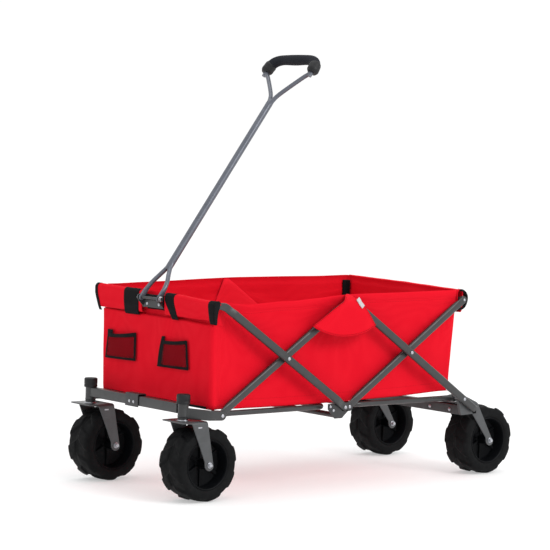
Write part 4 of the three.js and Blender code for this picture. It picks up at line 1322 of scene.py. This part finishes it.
cheek = Build()
rows = []
for z, x0, x1 in (
    (461.5, 510, 515.5),
    (468, 509.5, 518.6),
    (480, 509, 520.2),
    (494, 507, 521),
    (506, 503, 521.4),
    (514, 501.5, 520.8),
    (520, 502.5, 518.8),
    (523.4, 505, 514),
):
    rows.append([(mix(x0, x1, i / 6), 264.4 + 0.5 * math.sin(math.pi * i / 6), z) for i in range(7)])
cheek.grid(rows)
cheeks = [piece("corner_end_left", cheek, [BAND], "front_top", slot="webbing", **SHEET)]
for made in cheeks:
    thicken(made, 1.4, 0)

loop = Build()
rows = []
for i in range(29):
    a = math.radians(92 + 190 * i / 28)
    squeeze = 1 + 0.04 * math.sin(a * 3)
    x, z = REAR_X + 26 * squeeze * math.cos(a), HIGH + 27 * math.sin(a)
    rows.append([(x, y, z + 0.4 * wobble(y, i, 0, 9)) for y in np.linspace(224, 238.3, 6)])
loop.grid(rows)
inner = Build()
loops = pair("corner_loop_{}", loop, [BAND], "rear_top", ["rear_corner_loop_{}"], slot="webbing", **SHEET)
for made in loops:
    thicken(made, 5, 0)
rows = []
for z in np.linspace(531, 478, 12):
    ring = []
    for x, y in ((-371.5, 214), (-373, 220), (-370.5, 226), (-364, 229.4), (-357, 230)):
        ring.append((x, y, z))
    rows.append(ring)
inner.grid(rows)
tapes = pair("corner_tape_{}", inner, [BAND], "rear_top", slot="webbing", **SHEET)
for made in tapes:
    thicken(made, 1.4, 0)

# ---------- side flaps ----------
def flap_edges(t):
    """The flap's rear and front edge in X, and its height there, at a share of the way down."""
    rear = [(37, 530), (20, 510), (1, 490), (-17, 468), (-33, 447)]
    front = [(53, 530), (84, 512), (118, 492), (152, 471), (187, 450)]
    at = t * (len(rear) - 1)
    i = min(int(at), len(rear) - 2)
    return tuple(
        tuple(mix(edge[i][k], edge[i + 1][k], at - i) for k in range(2)) for edge in (rear, front)
    )


flap = Build()
rows = []
for j in range(31):
    t = j / 30
    (x0, z0), (x1, z1) = flap_edges(t)
    row = []
    for i in range(41):
        s = i / 40
        x = mix(x0, x1, s)
        dip = 29 * (4 * s * (1 - s)) ** 0.85 * t**1.4
        z = mix(z0, z1, s) - dip + 1.5 * math.sin(math.pi * s) * (1 - t)
        depth = 533.5 - z
        bulge = 239.5 + 37 * ease(depth / 24) ** 0.8
        bulge = min(bulge, 275.6 + 1.4 * wobble(x, z, 0, 60, 5) + 1.6 * math.sin(math.pi * s) * t)
        if s > 0.86:
            bulge -= 7 * ease((s - 0.86) / 0.14) * ease(t / 0.3)
        row.append((x, bulge, z))
    rows.append(row)
flap.grid(rows, 0)
edge_path = [(row[0][0] + 2.4, row[0][1] + 0.7, row[0][2]) for row in rows[2:]]
flap.stitches(edge_path, (0, 1, 0), slot=1)
edge_path = [(row[-1][0] - 2.4, row[-1][1] + 1.0, row[-1][2]) for row in rows[2:]]
flap.stitches(edge_path, (0, 1, 0), slot=1)
edge_path = [(x, y + 0.7, z + 4) for x, y, z in rows[-1]]
flap.stitches(edge_path, (0, 1, 0), slot=1)
flaps = pair("flap_{}", flap, [RED, THREAD], "top_hubs", ["side_flap_{}"], slot="fabric", **SHEET)
for made in flaps:
    thicken(made, 1.2, -1)

tag = Build()
rows = []
for j in range(5):
    row = []
    for i in range(13):
        s = i / 12
        (x0, z0), _ = flap_edges(0.06 + 0.30 * s)
        off = j / 4
        row.append((x0 + 1.0 + 9.0 * off, 277.4 + 0.5 * math.sin(s * 9), z0 - 7.6 * off))
    rows.append(row)
tag.grid(rows)
made = piece("flap_tag", tag, [TAG], "top_hubs", slot="fabric", **SHEET)
thicken(made, 0.8, 1)


# ---------- pockets ----------
def pocket(corners, band):
    """A net bag on the front wall. corners: low left, low right, top right, top left, as (y, z)."""
    low_a, low_b, top_b, top_a = corners
    made = Build()

    def at(s, t, out):
        y = mix(mix(low_a[0], low_b[0], s), mix(top_a[0], top_b[0], s), t)
        z = mix(mix(low_a[1], low_b[1], s), mix(top_a[1], top_b[1], s), t)
        z -= 2.5 * math.sin(math.pi * s) * t
        full = max(0.0, math.sin(math.pi * s)) ** 0.6
        swell = 6.5 * full * max(0.0, math.sin(math.pi * min(1, t * 0.62 + 0.06))) ** 0.7
        x = 510.6 + swell + 0.6 * wobble(y, z, 0, 22, 3)
        return (x + out, y, z)

    rows = [[at(i / 24, j / 18, 0) for i in range(25)] for j in range(19)]
    made.grid(rows, 0)

    def tape(s0, s1, t0, t1):
        strip = []
        for j in range(13):
            t = mix(t0, t1, j / 12)
            strip.append([at(mix(s0, s1, i / 12), t, 0.9) for i in range(13)])
        made.grid(strip, 1)

    side = 4.5 / abs(low_b[0] - low_a[0])
    tape(-0.02, side, -0.02, 1.0)
    tape(1 - side, 1.02, -0.02, 1.0)
    tape(0.0, 1.0, -0.03, 0.07)
    tape(0.0, 1.0, 1 - band, 1.02)
    return made


bag = pocket([(-216, 335), (-82, 338), (-82, 411), (-207, 399)], 0.13)
rows = []
for z in np.linspace(412, 392, 5):
    rows.append([(512.6, y, z) for y in np.linspace(-209, -186, 7)])
bag.grid(rows, 1)
right_pocket = piece(
    "pocket_right", bag, [NET, BAND], "front_top", ["front_pocket_right"], slot="pocket_mesh", **SHEET
)
bag = pocket([(20, 334), (150, 336), (142, 410), (38, 402)], 0.12)
rows = []
for z in np.linspace(414, 336, 14):
    t = (414 - z) / 78
    x = 512.9 + 2 * math.sin(math.pi * t)
    rows.append([(x, y, z) for y in np.linspace(mix(36, 19, t), mix(49, 44, t), 6)])
bag.grid(rows, 1)
left_pocket = piece(
    "pocket_left", bag, [NET, BAND], "front_top", ["front_pocket_left"], slot="pocket_mesh", **SHEET
)
for made in (right_pocket, left_pocket):
    thicken(made, 0.8, 1)

# ---------- the cloth pieces get their own mesh data ---
for made in [basket, *basket_trim]:
    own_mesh(made)
for made in pads:
    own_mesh(made)
flap_tag = bpy.data.objects["flap_tag"]
for made in [*flaps, flap_tag]:
    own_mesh(made)

# ---------- the top hub name for each flap ----
for made in flaps:
    hub = made.name.replace("flap", "top_hub")

# ---------- studio ----------
scene = bpy.context.scene
scene.view_settings.view_transform = "Standard"
floor_mesh = bpy.data.meshes.new("studio_floor")
FLOOR_HALF = 60
floor_corners = [(x * FLOOR_HALF, y * FLOOR_HALF, 0) for x, y in ((-1, -1), (1, -1), (1, 1), (-1, 1))]
floor_mesh.from_pydata(floor_corners, [], [(0, 1, 2, 3)])
floor_mesh.materials.append(ground("studio_floor"))
studio_floor = bpy.data.objects.new("studio_floor", floor_mesh)
scene.collection.objects.link(studio_floor)
studio_floor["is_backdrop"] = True

world = bpy.data.worlds.new("studio")
scene.world = world
world.use_nodes = True
world.node_tree.nodes["Background"].inputs["Color"].default_value = (1, 1, 1, 1)
world.node_tree.nodes["Background"].inputs["Strength"].default_value = 1.03


def softbox(name, place, target, size, power):
    """A square area light aimed at a point."""
    data = bpy.data.lights.new(name, "AREA")
    data.size = size
    data.energy = power
    lamp = bpy.data.objects.new(name, data)
    scene.collection.objects.link(lamp)
    lamp.location = place
    lamp.rotation_mode = "QUATERNION"
    lamp.rotation_quaternion = (Vector(target) - Vector(place)).to_track_quat("-Z", "Y")
    return lamp


softbox("key", (-0.9, 4.2, 3.4), (0, 0, 0.35), 1.9, 105)
softbox("top", (0.2, -0.4, 4.5), (0, 0, 0), 3.0, 35)

sizes = {"cad": [list(cad_box[0]), list(cad_box[1])], "visual": [list(corner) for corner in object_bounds()]}
